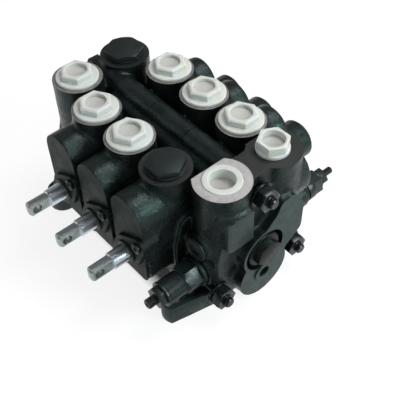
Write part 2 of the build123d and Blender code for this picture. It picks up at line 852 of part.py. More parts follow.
# Steel hexagon plugs, each on a sealing ring
with BuildPart() as seal_ring:
    with BuildSketch(Plane.XY.offset(port_z)):
        Circle(plug_ring_r)
        Circle(plug_shank_r + spool_fit, mode=Mode.SUBTRACT)
    extrude(amount=plug_ring_h)

plugged = {
    "port_plug_front_3": (front_ports[2], plug_af),
    "carry_over_plug": (end_ports[1], wide_plug_af),
}
rings = []
for label, ((x, y), across_flats) in plugged.items():
    with BuildPart() as port_plug:
        with BuildSketch(Plane.XY.offset(port_z + plug_ring_h)):
            Circle(across_flats / 2 / cos(radians(30)))
        extrude(amount=plug_h)
        chamfer(port_plug.edges().group_by(Axis.Z)[-1], plug_corner_cut, 2 * plug_corner_cut)
        with BuildSketch(Plane.XY.offset(port_z + plug_ring_h)):
            RegularPolygon(across_flats / 2, 6, major_radius=False)
        extrude(amount=plug_h, mode=Mode.INTERSECT)
        with BuildSketch(Plane.XY.offset(port_z + plug_ring_h)):
            Circle(plug_shank_r)
        extrude(amount=-plug_shank_l)
    keep(port_plug.part.moved(Location((x, y, 0))), label)
    rings += seal_ring.part.moved(Location((x, y, 0))).solids()
keep(Compound(children=rings), "port_plug_seal_rings")

# Flush plug of the pressure port, with a deep dish
with BuildPart() as inlet_plug:
    with BuildSketch(Plane.XY.offset(port_z + inlet_plug_proud)):
        with Locations((inlet_port_x, inlet_port_y)):
            Circle(inlet_plug_r)
    extrude(amount=-inlet_plug_length)
    chamfer(inlet_plug.edges().group_by(Axis.Z)[-1], shoulder_chamfer)
    with BuildSketch(Plane.XY.offset(port_z + inlet_plug_proud)):
        with Locations((inlet_port_x, inlet_port_y)):
            Circle(inlet_plug_recess_r)
    extrude(amount=-inlet_plug_recess_depth, mode=Mode.SUBTRACT)
keep(inlet_plug.part, "inlet_port_plug")

# Small hexagon cap of the tank port
with BuildPart() as tank_cap:
    with BuildSketch(Plane.XY.offset(port_z)):
        Circle(tank_cap_collar_r)
    extrude(amount=tank_cap_collar_h)
    chamfer(tank_cap.edges().group_by(Axis.Z)[-1], rim_chamfer)
    with BuildSketch(Plane.XY.offset(port_z + tank_cap_collar_h)):
        RegularPolygon(tank_cap_hex_af / 2, 6, major_radius=False)
    extrude(amount=tank_cap_hex_h)
    with BuildSketch(Plane.XY.offset(port_z)):
        Circle(tank_cap_shank_r)
    extrude(amount=-cap_shank_l)
    with BuildSketch(Plane.XY.offset(port_z + tank_cap_collar_h + tank_cap_hex_h)):
        Circle(tank_cap_recess_r)
    extrude(amount=-tank_cap_recess_depth, mode=Mode.SUBTRACT)
keep(tank_cap.part.moved(Location((tank_port_x, tank_port_y, 0))), "port_cap_return")

# Gallery plug in the notch above the lobe: flange, turned collar and hexagon head
with BuildPart() as gallery_plug:
    for disc_r, disc_top in (
        (gallery_flange_r, gallery_flange_t),
        (gallery_collar_r, gallery_flange_t + gallery_collar_t),
    ):
        with BuildSketch(Plane.YZ.offset(inlet_face_x)):
            with Locations((notch_y, notch_z)):
                Circle(disc_r)
        extrude(amount=disc_top)
        chamfer(gallery_plug.edges().group_by(Axis.X)[-1], gallery_rim)
    with BuildSketch(Plane.YZ.offset(inlet_face_x + gallery_flange_t + gallery_collar_t)):
        with Locations((notch_y, notch_z)):
            RegularPolygon(gallery_hex_af / 2, 6, major_radius=False, rotation=gallery_hex_turn)
    extrude(amount=gallery_hex_h)
    with BuildSketch(Plane.YZ.offset(inlet_face_x)):
        with Locations((notch_y, notch_z)):
            Circle(gallery_shank_r - tie_clear)
    extrude(amount=-gallery_shank_l)
keep(gallery_plug.part, "gallery_plug")

# Upper front plug of the inlet section, with a driving socket
with BuildPart() as check_plug:
    with BuildSketch(Plane.XZ.offset(check_boss_y)):
        with Locations((relief_x, check_z)):
            Circle(check_ring_r)
    extrude(amount=check_ring_h)
    chamfer(check_plug.edges().group_by(Axis.Y)[0], check_rim)
    with BuildSketch(Plane.XZ.offset(check_boss_y + check_ring_h)):
        with Locations((relief_x, check_z)):
            RegularPolygon(check_socket_af / 2, 6, major_radius=False)
    extrude(amount=-check_socket_depth, mode=Mode.SUBTRACT)
    with BuildSketch(Plane.XZ.offset(check_boss_y)):
        with Locations((relief_x, check_z)):
            Circle(check_shank_r - wiper_fit)
    extrude(amount=-check_shank_l)
keep(check_plug.part, "check_valve_plug")


def relief_valve(which, seat, collar, body, washer, nut, adjuster, hex_turn):
    """Relief valve standing on a seat plane: collar, cartridge, lock washer, lock nut, adjuster.

    The body is a list of (kind, radius or half width across flats, length), from the seat out.
    """
    collar_r, collar_l = collar
    washer_radius, washer_thickness = washer
    nut_width, nut_height = nut
    screw_radius, screw_length, screw_proud, socket_width = adjuster
    bore_r = screw_radius + adjuster_fit
    with BuildPart() as collar_ring:
        with BuildSketch(seat):
            Circle(collar_r)
            Circle(relief_shank_r, mode=Mode.SUBTRACT)
        extrude(amount=collar_l)
        chamfer(
            collar_ring.edges().filter_by(GeomType.CIRCLE).group_by(SortBy.RADIUS)[-1], rim_chamfer
        )
    keep(collar_ring.part, f"{which}_relief_collar")
    top = collar_l
    with BuildPart() as cartridge:
        for kind, reach, length in body:
            with BuildSketch(seat.offset(top)):
                if kind == "hex":
                    RegularPolygon(reach, 6, major_radius=False, rotation=hex_turn)
                else:
                    Circle(reach)
            extrude(amount=length)
            top += length
        outer_face = cartridge.faces().sort_by(Axis(seat.origin, seat.z_dir))[-1]
        chamfer(outer_face.edges(), shoulder_chamfer)
        with BuildSketch(seat.offset(collar_l)):
            Circle(relief_shank_r - wiper_fit)
        extrude(amount=-collar_l - relief_shank_l)
        with BuildSketch(seat.offset(top)):
            Circle(bore_r)
        extrude(amount=-(screw_length + adjuster_travel), mode=Mode.SUBTRACT)
    keep(cartridge.part, f"{which}_relief_cartridge")
    with BuildPart() as lock_washer:
        with BuildSketch(seat.offset(top)):
            Circle(washer_radius)
            Circle(bore_r, mode=Mode.SUBTRACT)
        extrude(amount=washer_thickness)
    keep(lock_washer.part, f"{which}_relief_lock_washer")
    top += washer_thickness
    with BuildPart() as lock_nut:
        with BuildSketch(seat.offset(top)):
            RegularPolygon(nut_width / 2, 6, major_radius=False)
            Circle(bore_r, mode=Mode.SUBTRACT)
        extrude(amount=nut_height)
    keep(lock_nut.part, f"{which}_relief_lock_nut")
    top += nut_height + screw_proud
    with BuildPart() as adjuster_screw:
        with BuildSketch(seat.offset(top)):
            Circle(screw_radius)
        extrude(amount=-screw_length)
        chamfer(adjuster_screw.edges(), rim_chamfer)
        with BuildSketch(seat.offset(top)):
            RegularPolygon(socket_width / 2, 6, major_radius=False)
        extrude(amount=-screw_radius, mode=Mode.SUBTRACT)
    keep(adjuster_screw.part, f"{which}_relief_adjuster")


relief_valve(
    "front",
    Plane(origin=(relief_x, -front_relief_boss_y, front_relief_z), x_dir=(1, 0, 0), z_dir=(0, -1, 0)),
    collar=(front_collar_r, front_collar_l),
    body=[
        ("hex", front_hex_af / 2, front_hex_l),
        ("round", front_neck_r, front_neck_l),
        ("round", front_barrel_r, front_barrel_l),
    ],
    washer=(front_washer_r, front_washer_t),
    nut=(front_nut_af, front_nut_h),
    adjuster=(front_adjuster_r, front_adjuster_l, front_adjuster_proud, front_socket_af),
    hex_turn=relief_hex_turn,
)
relief_valve(
    "rear",
    Plane(origin=(relief_x, rear_relief_boss_y, rear_relief_z), x_dir=(-1, 0, 0), z_dir=(0, 1, 0)),
    collar=(rear_collar_r, rear_collar_l),
    body=[
        ("round", rear_body_r, rear_body_l),
        ("hex", rear_hex_af / 2, rear_hex_l),
    ],
    washer=(rear_washer_r, rear_washer_t),
    nut=(rear_nut_af, rear_nut_h),
    adjuster=(rear_adjuster_r, rear_adjuster_l, rear_adjuster_proud, rear_socket_af),
    hex_turn=relief_hex_turn,
)
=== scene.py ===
"""Looks of a three-spool sectional hydraulic control valve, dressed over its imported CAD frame.

The castings are poured again as meshes with soft blends and then machined flat where the
real ones are, the moulded port caps are turned and drawn as soft plastic, threads are cut
on the tie rods and adjusters, and every other piece gets broken edges and its own finish.
"""

import json
from math import cos, pi, radians, sin

import bmesh
import bpy
from mathutils import Matrix, Vector


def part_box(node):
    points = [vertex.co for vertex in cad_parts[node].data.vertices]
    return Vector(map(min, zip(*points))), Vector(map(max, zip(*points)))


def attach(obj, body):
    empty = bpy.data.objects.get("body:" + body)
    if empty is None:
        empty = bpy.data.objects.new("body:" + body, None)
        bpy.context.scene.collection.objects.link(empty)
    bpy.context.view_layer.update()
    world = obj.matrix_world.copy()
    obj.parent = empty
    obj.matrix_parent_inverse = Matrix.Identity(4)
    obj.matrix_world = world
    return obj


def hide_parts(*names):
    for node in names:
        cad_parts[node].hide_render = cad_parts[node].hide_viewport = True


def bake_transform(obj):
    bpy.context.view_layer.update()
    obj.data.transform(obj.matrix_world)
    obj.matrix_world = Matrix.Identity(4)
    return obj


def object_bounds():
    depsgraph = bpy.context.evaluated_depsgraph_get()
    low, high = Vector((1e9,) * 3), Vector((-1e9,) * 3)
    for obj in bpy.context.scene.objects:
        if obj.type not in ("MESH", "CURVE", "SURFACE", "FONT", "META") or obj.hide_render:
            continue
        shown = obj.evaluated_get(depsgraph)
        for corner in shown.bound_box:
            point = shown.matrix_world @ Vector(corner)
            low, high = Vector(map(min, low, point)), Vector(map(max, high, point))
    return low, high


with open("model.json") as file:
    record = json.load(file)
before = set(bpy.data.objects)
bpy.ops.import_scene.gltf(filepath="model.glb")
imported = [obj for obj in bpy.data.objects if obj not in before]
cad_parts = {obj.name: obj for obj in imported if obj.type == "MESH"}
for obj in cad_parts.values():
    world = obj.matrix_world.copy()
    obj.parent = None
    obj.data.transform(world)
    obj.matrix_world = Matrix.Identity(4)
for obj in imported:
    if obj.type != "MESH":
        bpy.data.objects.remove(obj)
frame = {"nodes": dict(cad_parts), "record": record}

bl_info = {
    "name": "Sectional Hydraulic Valve",
    "version": (1, 0, 0),
    "blender": (4, 5, 0),
    "location": "View3D > Sidebar > Valve",
    "description": "Dresses the packed frame of a sectional hydraulic valve",
    "category": "Object",
}

MM = 0.001
CAD_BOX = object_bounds()

SECTIONS = (1, 2, 3)
WORK_SECTIONS = [f"work_section_{n}" for n in SECTIONS]
BLOCK = "valve_block"


def node_box(node):
    """Lowest and highest corner of a node, and its middle."""
    low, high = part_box(node)
    return low, high, (low + high) / 2


X, Y, Z = Vector((1, 0, 0)), Vector((0, 1, 0)), Vector((0, 0, 1))

# Heights and places read from the frame, and the length of a spool's milled tongue
PORT_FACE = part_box("work_section_1")[1].z
SPOOL_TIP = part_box("spool_1")[0].y
INLET_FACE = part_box("inlet_section")[0].x
TONGUE_LENGTH = 17.6 * MM

# Radius of the bare turned iron round each port, and of the recess in each cap
WHITE_CAPS = ["port_cap_tank", "port_cap_front_1", "port_cap_front_2", "port_cap_rear_1",
              "port_cap_rear_2", "port_cap_rear_3"]
BARE_PORTS = {node: 20.5 * MM for node in WHITE_CAPS}
BARE_PORTS["inlet_port_plug"] = 21.5 * MM
CAP_RECESSES = {node: 9.3 * MM for node in WHITE_CAPS}
CAP_RECESSES["port_cap_return"] = 9.1 * MM
CAP_RECESSES["inlet_port_plug"] = 9.9 * MM

# Heights between which the plastic of a cap turns from the painted shade of its recess to white
RECESS_LOW = PORT_FACE + 4.2 * MM
RECESS_HIGH = PORT_FACE + 7 * MM

# White caps: how far they are screwed round, and the height, radii and draft of their hexagon
CAP_TURN = radians(30)
HEXAGON_TALL = 5.6 * MM
HEXAGON_LEAST = 9.6 * MM
HEXAGON_MOST = 13.5 * MM
HEXAGON_DRAFT = 0.11

# Distance from a machined plane within which a vertex belongs to the machined face; on the
# port tops it reaches further down
ON_FACE = 0.05 * MM
NEAR_PORT_FACE = 0.8 * MM

# Material slots of a casting: its skin, its milled faces and its port tops
SKIN, FACING, TOPS = 0, 1, 2

# Sand skin: size of its slow waves
SKIN_WAVE = 9 * MM

# Parting groove on the front housings: its place behind the front face, half its width, its
# ends, the height over which it runs out, its waves as pairs of swing and length, and how
# squarely a flank looks sideways to have it
GROOVE_BEHIND = 2.6 * MM
GROOVE_HALF = 1.3 * MM
GROOVE_ZONE = 6 * MM
GROOVE_LOW = 33 * MM
GROOVE_HIGH = 62 * MM
GROOVE_FADE = 8 * MM
GROOVE_WAVES = ((0.5 * MM, 1.9 * MM), (0.3 * MM, 0.8 * MM))
FLANK_LEAN = 0.6

# Rolled bead round the pressure boss: its radius, height and arc, and its mesh
BEAD_RING = 22.9 * MM
BEAD_HEIGHT = 105.5 * MM
BEAD_START = radians(-54)
BEAD_SWEEP = radians(72)
BEAD_SIDES = 14
BEAD_STEPS = 24

# Crisp parts of the inlet section: their edge, and planes by a point and the way cut away
CRISP_EDGE = 0.45 * MM
FOOT_PLANES = [((0, 0, 19.2 * MM), Z), ((0, -43 * MM, 0), Y)]
PAD_PLANES = [((99.5 * MM, 0, 0), -X), ((0, -34 * MM, 0), -Y), ((0, -4.5 * MM, 0), Y),
              ((0, 0, 69 * MM), -Z), ((0, 0, 104 * MM), Z), ((102.6 * MM, 0, 0), X)]

# Turned ring on the lobe: its step above the milled face, axis, radii, edge and depth
LOBE_STEP = 1.2 * MM
LOBE_CENTRE = Vector((0, 4.7 * MM, 24.5 * MM))
LOBE_RING = 9.6 * MM
LOBE_BORE = 5.1 * MM
LOBE_EDGE = 0.3 * MM
LOBE_DEPTH = 15 * MM

# Tie rods and their threaded ends
ROD_RADIUS = 4.95 * MM
ROD_CHAMFER = 0.9 * MM
RODS_APART = 12 * MM
THREAD_ROOT = ROD_RADIUS - 0.62 * MM
THREAD_LENGTH = 15 * MM
THREAD_STEPS = 20

# Steps of a turned form, and the distances at which corners are welded
TURNED_STEPS = 40
TURNED_WELD = 0.001 * MM
NODE_WELD = 0.002 * MM

# Angles: within one flat face, of an edge to be broken, and of an edge that shows sharp on a
# casting or turned form, on a piece with broken edges and on a coil
FLAT_ANGLE = radians(0.6)
EDGE_ANGLE = radians(30)
SHARP_ANGLE = radians(32)
BEVELLED_ANGLE = radians(40)
COIL_ANGLE = radians(60)

# Lamps: name, colour, place, watts and diameter; all aim at the middle of the valve
VALVE_MIDDLE = (0.01, 0.0, 0.06)
LAMPS = (
    ("top", (1.0, 0.90, 0.91), (0.12, 0.40, 0.95), 5.8, 0.5),
    ("key", (1, 1, 1), (0.75, -0.65, 0.85), 1.8, 0.8),
    ("left", (1, 1, 1), (-0.85, -0.75, 0.5), 1.4, 0.6),
    ("right", (0.90, 0.98, 1.0), (0.86, 0.39, 0.57), 7.6, 0.54),
)

# Studio: what gloss mirrors of it from the horizon to overhead, and its light on the rest
STUDIO_STEPS = ((0.0, 0.04), (0.14, 0.05), (0.34, 0.34), (0.6, 0.34), (0.8, 0.2), (1.0, 0.05))
STUDIO_FILL = 0.34

# Floor: size, gap under the feet, tone, and its glow as seen and as mirrored, lit and under painted
# shade
FLOOR_RADIUS = 3.0
FLOOR_GAP = 0.02 * MM
FLOOR_TONE = 0.2
FLOOR_SEEN = 0.83
FLOOR_MIRRORED = 0.95
SHADE_SEEN = 0.01
SHADE_MIRRORED = 0.05

# Painted shadow under the block: along X and Y, between which places it fades in and out
SHADE_LEFT = (-66 * MM, -42 * MM)
SHADE_RIGHT = (52 * MM, 70 * MM)
SHADE_FRONT = (-64 * MM, -50 * MM)
SHADE_REAR = (40 * MM, 64 * MM)

# Painted shade on the floor in front of the inlet section, a dark patch that its paint mirrors
PATCH_CENTRE = (170 * MM, -110 * MM, 0)
PATCH_FADE = (60 * MM, 125 * MM)
PATCH_DEPTH = 0.85


class PaintSettings(bpy.types.PropertyGroup):
    """Black paint over the castings and the steel parts."""

    cast_colour: bpy.props.FloatVectorProperty(
        name="Cast colour", description="Paint on the rough cast skin",
        default=(0.0060, 0.0088, 0.0086), subtype="COLOR")
    # Painted light: the side faces get a lighter copy of the machined-face paint.
    facing_colour: bpy.props.FloatVectorProperty(
        name="Side lit colour", description="Paint on the machined side faces",
        default=(0.018, 0.029, 0.028), subtype="COLOR")
    # Painted shade: the front faces get a darker, olive copy of the same paint.
    front_colour: bpy.props.FloatVectorProperty(
        name="Front shaded colour", description="Olive cast of the paint on the front faces",
        default=(0.0070, 0.0125, 0.0082), subtype="COLOR")
    top_colour: bpy.props.FloatVectorProperty(
        name="Top colour", description="Charcoal paint on the faced port tops",
        default=(0.004, 0.0075, 0.007), subtype="COLOR")
    sheen: bpy.props.FloatVectorProperty(
        name="Sheen", description="Tint of the gloss", default=(0.66, 1.0, 0.94), subtype="COLOR")
    reflection: bpy.props.FloatProperty(
        name="Reflection", description="Specular level of the paint", default=0.33)
    roughness: bpy.props.FloatProperty(
        name="Roughness", description="Gloss of the paint, 0 mirror to 1 matt", default=0.29)
    grain_size: bpy.props.FloatProperty(
        name="Grain size", description="Size of the sand grain in the cast skin",
        default=1.5 * MM, unit="LENGTH")
    grain_depth: bpy.props.FloatProperty(
        name="Grain depth", description="Depth of the sand grain", default=0.16 * MM, unit="LENGTH")


class CastingSettings(bpy.types.PropertyGroup):
    """How the castings are poured and machined."""

    grid: bpy.props.FloatProperty(
        name="Grid", description="Mesh size of the poured skin", default=1.15 * MM, unit="LENGTH")
    stock: bpy.props.FloatProperty(
        name="Stock", description="Metal left on a face before it is machined",
        default=4.0 * MM, unit="LENGTH")
    blend_rounds: bpy.props.IntProperty(
        name="Blend rounds", description="Rounds of smoothing that blend the corners", default=18)
    bead: bpy.props.FloatProperty(
        name="Bead", description="Radius of the rolled bead under the pressure boss",
        default=2.3 * MM, unit="LENGTH")
    flash: bpy.props.FloatProperty(
        name="Flash", description="Depth of the parting groove on the front housings",
        default=1.5 * MM, unit="LENGTH")
    seam: bpy.props.FloatProperty(
        name="Seam", description="Half of the dark line between two sections",
        default=0.3 * MM, unit="LENGTH")
    unevenness: bpy.props.FloatProperty(
        name="Unevenness", description="Slow waves of the cast skin",
        default=0.5 * MM, unit="LENGTH")


class CapSettings(bpy.types.PropertyGroup):
    """Moulded caps of the work ports."""

    colour: bpy.props.FloatVectorProperty(
        name="Colour", description="White translucent plastic", default=(0.53, 0.57, 0.555),
        subtype="COLOR")
    # Painted shade: the plastic low in each cap's recess is drawn in this darker colour.
    recess_painted_shade: bpy.props.FloatVectorProperty(
        name="Recess painted shade", description="Painted shade on the plastic low in the recess, over the dark port",
        default=(0.42, 0.43, 0.405), subtype="COLOR")
    edge: bpy.props.FloatProperty(
        name="Edge", description="Rounding of the moulded edges", default=0.8 * MM, unit="LENGTH")


class SteelSettings(bpy.types.PropertyGroup):
    """Turned and bought-in steel parts."""

    edge: bpy.props.FloatProperty(
        name="Broken edge", description="Width of a broken edge", default=0.25 * MM, unit="LENGTH")
    thread_pitch: bpy.props.FloatProperty(
        name="Thread pitch", description="Pitch of the tie rod thread",
        default=1.5 * MM, unit="LENGTH")
    fine_pitch: bpy.props.FloatProperty(
        name="Fine pitch", description="Pitch of the adjuster thread",
        default=1.0 * MM, unit="LENGTH")


class StageSettings(bpy.types.PropertyGroup):
    """Camera, floor and lamps."""

    azimuth: bpy.props.FloatProperty(
        name="Azimuth", description="Camera turn to the right of the front, in degrees",
        default=49.75)
    elevation: bpy.props.FloatProperty(
        name="Elevation", description="Camera height above the horizon, in degrees", default=48.05)
    roll: bpy.props.FloatProperty(
        name="Roll", description="Camera roll, in degrees", default=-1.32)
    distance: bpy.props.FloatProperty(
        name="Distance", description="From the camera to its target", default=467.32 * MM,
        unit="LENGTH")
    target: bpy.props.FloatVectorProperty(
        name="Target", description="Point that the camera looks at",
        default=(82.16 * MM, -39.76 * MM, 122.0 * MM), subtype="XYZ_LENGTH")
    lens: bpy.props.FloatProperty(
        name="Lens", description="Focal length on a 36 mm sensor, in mm", default=62.37)


def material(name):
    """A new material with its node tree, shader and Object coordinates."""
    made = bpy.data.materials.new(name)
    made.use_nodes = True
    tree = made.node_tree
    shader = tree.nodes["Principled BSDF"]
    where = tree.nodes.new("ShaderNodeTexCoord")
    return made, tree, shader, where.outputs["Object"]


def noise(tree, where, size, detail=3.0, rough=0.5):
    """Noise with features of about one size."""
    node = tree.nodes.new("ShaderNodeTexNoise")
    node.inputs["Scale"].default_value = 1 / size
    node.inputs["Detail"].default_value = detail
    node.inputs["Roughness"].default_value = rough
    tree.links.new(where, node.inputs["Vector"])
    return node.outputs["Fac"]


def spread(tree, value, low, high, out_low, out_high):
    """Maps a value from one range to another and clamps it."""
    node = tree.nodes.new("ShaderNodeMapRange")
    node.inputs["From Min"].default_value = low
    node.inputs["From Max"].default_value = high
    node.inputs["To Min"].default_value = out_low
    node.inputs["To Max"].default_value = out_high
    tree.links.new(value, node.inputs["Value"])
    return node.outputs["Result"]


def tint(tree, value, first, second):
    """Colour between two tones, each a colour or a socket."""
    node = tree.nodes.new("ShaderNodeMix")
    node.data_type = "RGBA"
    tree.links.new(value, node.inputs["Factor"])
    for tone, socket in ((first, node.inputs["A"]), (second, node.inputs["B"])):
        if isinstance(tone, bpy.types.NodeSocket):
            tree.links.new(tone, socket)
        else:
            socket.default_value = (*tone, 1)
    return node.outputs["Result"]


def along(tree, where, axis):
    """One coordinate of a place."""
    split = tree.nodes.new("ShaderNodeSeparateXYZ")
    tree.links.new(where, split.inputs["Vector"])
    return split.outputs[axis]


def distance_to(tree, where, point):
    """Distance from a place to a point."""
    away = tree.nodes.new("ShaderNodeVectorMath")
    away.operation = "DISTANCE"
    away.inputs[1].default_value = point
    tree.links.new(where, away.inputs[0])
    return away.outputs["Value"]


def cloudy(tree, where, size, detail=3.0):
    """Noise with most of its range used, for slow changes of tone."""
    return spread(tree, noise(tree, where, size, detail), 0.35, 0.65, 0, 1)


def speckled_gloss(tree, shader, value, smooth, rough):
    """Roughness that changes a little from place to place."""
    tree.links.new(spread(tree, value, 0.3, 0.7, smooth, rough), shader.inputs["Roughness"])


def combine(tree, operation, first, second):
    """Sum, product, lowest or highest of two values."""
    node = tree.nodes.new("ShaderNodeMath")
    node.operation = operation
    tree.links.new(first, node.inputs[0])
    tree.links.new(second, node.inputs[1])
    return node.outputs[0]


def raise_skin(tree, shader, height, depth, under=None):
    """Bump of a given depth, over another one."""
    node = tree.nodes.new("ShaderNodeBump")
    node.inputs["Strength"].default_value = 1.0
    node.inputs["Distance"].default_value = depth
    tree.links.new(height, node.inputs["Height"])
    if under:
        tree.links.new(under, node.inputs["Normal"])
    tree.links.new(node.outputs["Normal"], shader.inputs["Normal"])
    return node.outputs["Normal"]


def shade(colour, factor):
    """A colour made darker or lighter."""
    return tuple(min(1.0, channel * factor) for channel in colour)


def coat(shader):
    """The gloss that all the black paint shares."""
    paint = bpy.context.scene.valve_paint
    shader.inputs["Specular IOR Level"].default_value = paint.reflection
    shader.inputs["Specular Tint"].default_value = (*paint.sheen, 1)


def cast_paint(name):
    """Satin black over a sand-cast skin."""
    paint = bpy.context.scene.valve_paint
    made, tree, shader, where = material(name)
    coat(shader)
    tone = tint(tree, cloudy(tree, where, 14 * MM),
                shade(paint.cast_colour, 0.6), shade(paint.cast_colour, 1.4))
    tree.links.new(tone, shader.inputs["Base Color"])
    speckled_gloss(tree, shader, noise(tree, where, 5 * MM),
                   paint.roughness - 0.08, paint.roughness + 0.12)
    waves = raise_skin(tree, shader, noise(tree, where, 3.2 * MM, 2), 0.3 * MM)
    grain = noise(tree, where, paint.grain_size, 4, 0.6)
    raise_skin(tree, shader, grain, paint.grain_depth * 2, waves)
    return made


def faced_paint(name, tone_setting, roughness, reflection):
    """The paint over a milled face, smoother than over the cast skin."""
    colour = getattr(bpy.context.scene.valve_paint, tone_setting)
    made, tree, shader, where = material(name)
    coat(shader)
    shader.inputs["Specular IOR Level"].default_value = reflection
    tone = tint(tree, cloudy(tree, where, 16 * MM, 4), shade(colour, 0.82), shade(colour, 1.18))
    tree.links.new(tone, shader.inputs["Base Color"])
    speckled_gloss(tree, shader, noise(tree, where, 6 * MM), roughness - 0.04, roughness + 0.1)
    raise_skin(tree, shader, noise(tree, where, 0.9 * MM), 0.03 * MM)
    return made


def steel_paint(name, colour, roughness, reflection=None):
    """Thin black on turned steel; a reflection of its own is bluer."""
    made, tree, shader, where = material(name)
    coat(shader)
    if reflection:
        shader.inputs["Specular IOR Level"].default_value = reflection
        shader.inputs["Specular Tint"].default_value = (0.84, 0.98, 1.0, 1)
    tone = tint(tree, cloudy(tree, where, 7 * MM), shade(colour, 0.8), shade(colour, 1.2))
    tree.links.new(tone, shader.inputs["Base Color"])
    speckled_gloss(tree, shader, noise(tree, where, 2 * MM), roughness - 0.05, roughness + 0.08)
    raise_skin(tree, shader, noise(tree, where, 0.6 * MM, 2), 0.015 * MM)
    return made


def threaded_steel(name):
    """Dark screw with a rolled thread along the spool direction."""
    steel = bpy.context.scene.valve_steel
    made, tree, shader, where = material(name)
    shader.inputs["Base Color"].default_value = (0.008, 0.010, 0.011, 1)
    speckled_gloss(tree, shader, noise(tree, where, 1.2 * MM), 0.3, 0.45)
    grooves = tree.nodes.new("ShaderNodeTexWave")
    grooves.bands_direction = "Y"
    grooves.wave_profile = "SIN"
    grooves.inputs["Scale"].default_value = pi / (10 * steel.fine_pitch)
    tree.links.new(where, grooves.inputs["Vector"])
    raise_skin(tree, shader, grooves.outputs["Fac"], steel.fine_pitch * 0.6)
    return made


def port_tops(name):
    """Faced port tops: bare turned iron round the capped ports, charcoal paint elsewhere."""
    paint = bpy.context.scene.valve_paint
    made, tree, shader, where = material(name)
    bare = nearest = None
    for node, reach in BARE_PORTS.items():
        middle = node_box(node)[2]
        away = distance_to(tree, where, (middle.x, middle.y, PORT_FACE))
        inside = spread(tree, away, reach - 0.1 * MM, reach + 0.1 * MM, 1, 0)
        bare = inside if bare is None else combine(tree, "MAXIMUM", bare, inside)
        nearest = away if nearest is None else combine(tree, "MINIMUM", nearest, away)
    cloud = spread(tree, noise(tree, where, 4 * MM, 4, 0.6), 0.3, 0.7, 0, 1)
    dull = tint(tree, cloud, (0.15, 0.15, 0.145), (0.26, 0.26, 0.25))
    bright = tint(tree, cloud, (0.33, 0.335, 0.33), (0.46, 0.465, 0.46))
    inlet_side = spread(tree, along(tree, where, "X"), INLET_FACE, INLET_FACE + 0.1 * MM, 0, 1)
    iron = tint(tree, inlet_side, dull, bright)
    black = tint(tree, cloudy(tree, where, 12 * MM, 4),
                 shade(paint.top_colour, 0.8), shade(paint.top_colour, 1.25))
    tree.links.new(tint(tree, bare, black, iron), shader.inputs["Base Color"])
    tree.links.new(spread(tree, bare, 0, 1, 0, 0.4), shader.inputs["Metallic"])
    speckled_gloss(tree, shader, noise(tree, where, 0.8 * MM), 0.42, 0.58)
    turning = tree.nodes.new("ShaderNodeTexNoise")
    turning.noise_dimensions = "1D"
    turning.inputs["Scale"].default_value = 1 / (0.5 * MM)
    tree.links.new(nearest, turning.inputs["W"])
    raise_skin(tree, shader, turning.outputs["Fac"], 0.03 * MM)
    return made


def chrome(name):
    """Ground hard chrome with faint draw marks along the spool, duller on the milled tongue."""
    made, tree, shader, where = material(name)
    squeeze = tree.nodes.new("ShaderNodeMapping")
    squeeze.inputs["Scale"].default_value = (1, 0.05, 1)
    tree.links.new(where, squeeze.inputs["Vector"])
    marks = noise(tree, squeeze.outputs["Vector"], 0.5 * MM, 2)
    ground = tint(tree, marks, (0.53, 0.60, 0.66), (0.69, 0.76, 0.82))
    milled = tint(tree, noise(tree, where, 2 * MM), (0.28, 0.33, 0.32), (0.42, 0.47, 0.46))
    shoulder = SPOOL_TIP + TONGUE_LENGTH
    tongue = spread(tree, along(tree, where, "Y"), shoulder, shoulder + 0.3 * MM, 1, 0)
    tree.links.new(tint(tree, tongue, ground, milled), shader.inputs["Base Color"])
    shader.inputs["Metallic"].default_value = 1.0
    tree.links.new(spread(tree, tongue, 0, 1, 0.3, 0.4), shader.inputs["Roughness"])
    raise_skin(tree, shader, marks, 0.003 * MM)
    return made


def cap_plastic(name):
    """Translucent white moulded plastic, yellowed in blotches, and drawn greyer low in the recess
    over the open port as painted shade.
    """
    caps = bpy.context.scene.valve_caps
    made, tree, shader, where = material(name)
    red, green, blue = caps.colour
    blotch = spread(tree, noise(tree, where, 9 * MM, 2), 0.4, 0.75, 0, 1)
    outer = tint(tree, blotch, caps.colour, (red * 0.98, green * 0.96, blue * 0.86))
    # Painted shade: the plastic is drawn darker low down inside each cap's recess.
    low = spread(tree, along(tree, where, "Z"), RECESS_LOW, RECESS_HIGH, 1, 0)
    painted_recess_shade = combine(tree, "MULTIPLY", low, within_recess(tree, where))
    tree.links.new(tint(tree, painted_recess_shade, outer, caps.recess_painted_shade), shader.inputs["Base Color"])
    shader.inputs["Roughness"].default_value = 0.5
    shader.inputs["Specular IOR Level"].default_value = 0.35
    shader.inputs["Subsurface Weight"].default_value = 0.7
    shader.inputs["Subsurface Radius"].default_value = (1.0, 1.0, 0.9)
    shader.inputs["Subsurface Scale"].default_value = 2.5 * MM
    raise_skin(tree, shader, noise(tree, where, 1.2 * MM), 0.03 * MM)
    return made


def within_recess(tree, where):
    """One inside the round recess of a white cap, nought outside."""
    level = tree.nodes.new("ShaderNodeVectorMath")
    level.operation = "MULTIPLY"
    level.inputs[1].default_value = (1, 1, 0)
    tree.links.new(where, level.inputs[0])
    inside = None
    for node, reach in CAP_RECESSES.items():
        middle = node_box(node)[2]
        away = distance_to(tree, level.outputs["Vector"], (middle.x, middle.y, 0))
        near = spread(tree, away, reach - 0.6 * MM, reach, 1, 0)
        inside = near if inside is None else combine(tree, "MAXIMUM", inside, near)
    return inside


def plain_metal(name, colour, roughness, metallic):
    """Turned or rolled metal."""
    made, tree, shader, where = material(name)
    marks = noise(tree, where, 0.5 * MM)
    tone = tint(tree, marks, shade(colour, 0.8), shade(colour, 1.15))
    tree.links.new(tone, shader.inputs["Base Color"])
    shader.inputs["Metallic"].default_value = metallic
    speckled_gloss(tree, shader, marks, roughness - 0.06, roughness + 0.08)
    raise_skin(tree, shader, marks, 0.01 * MM)
    return made


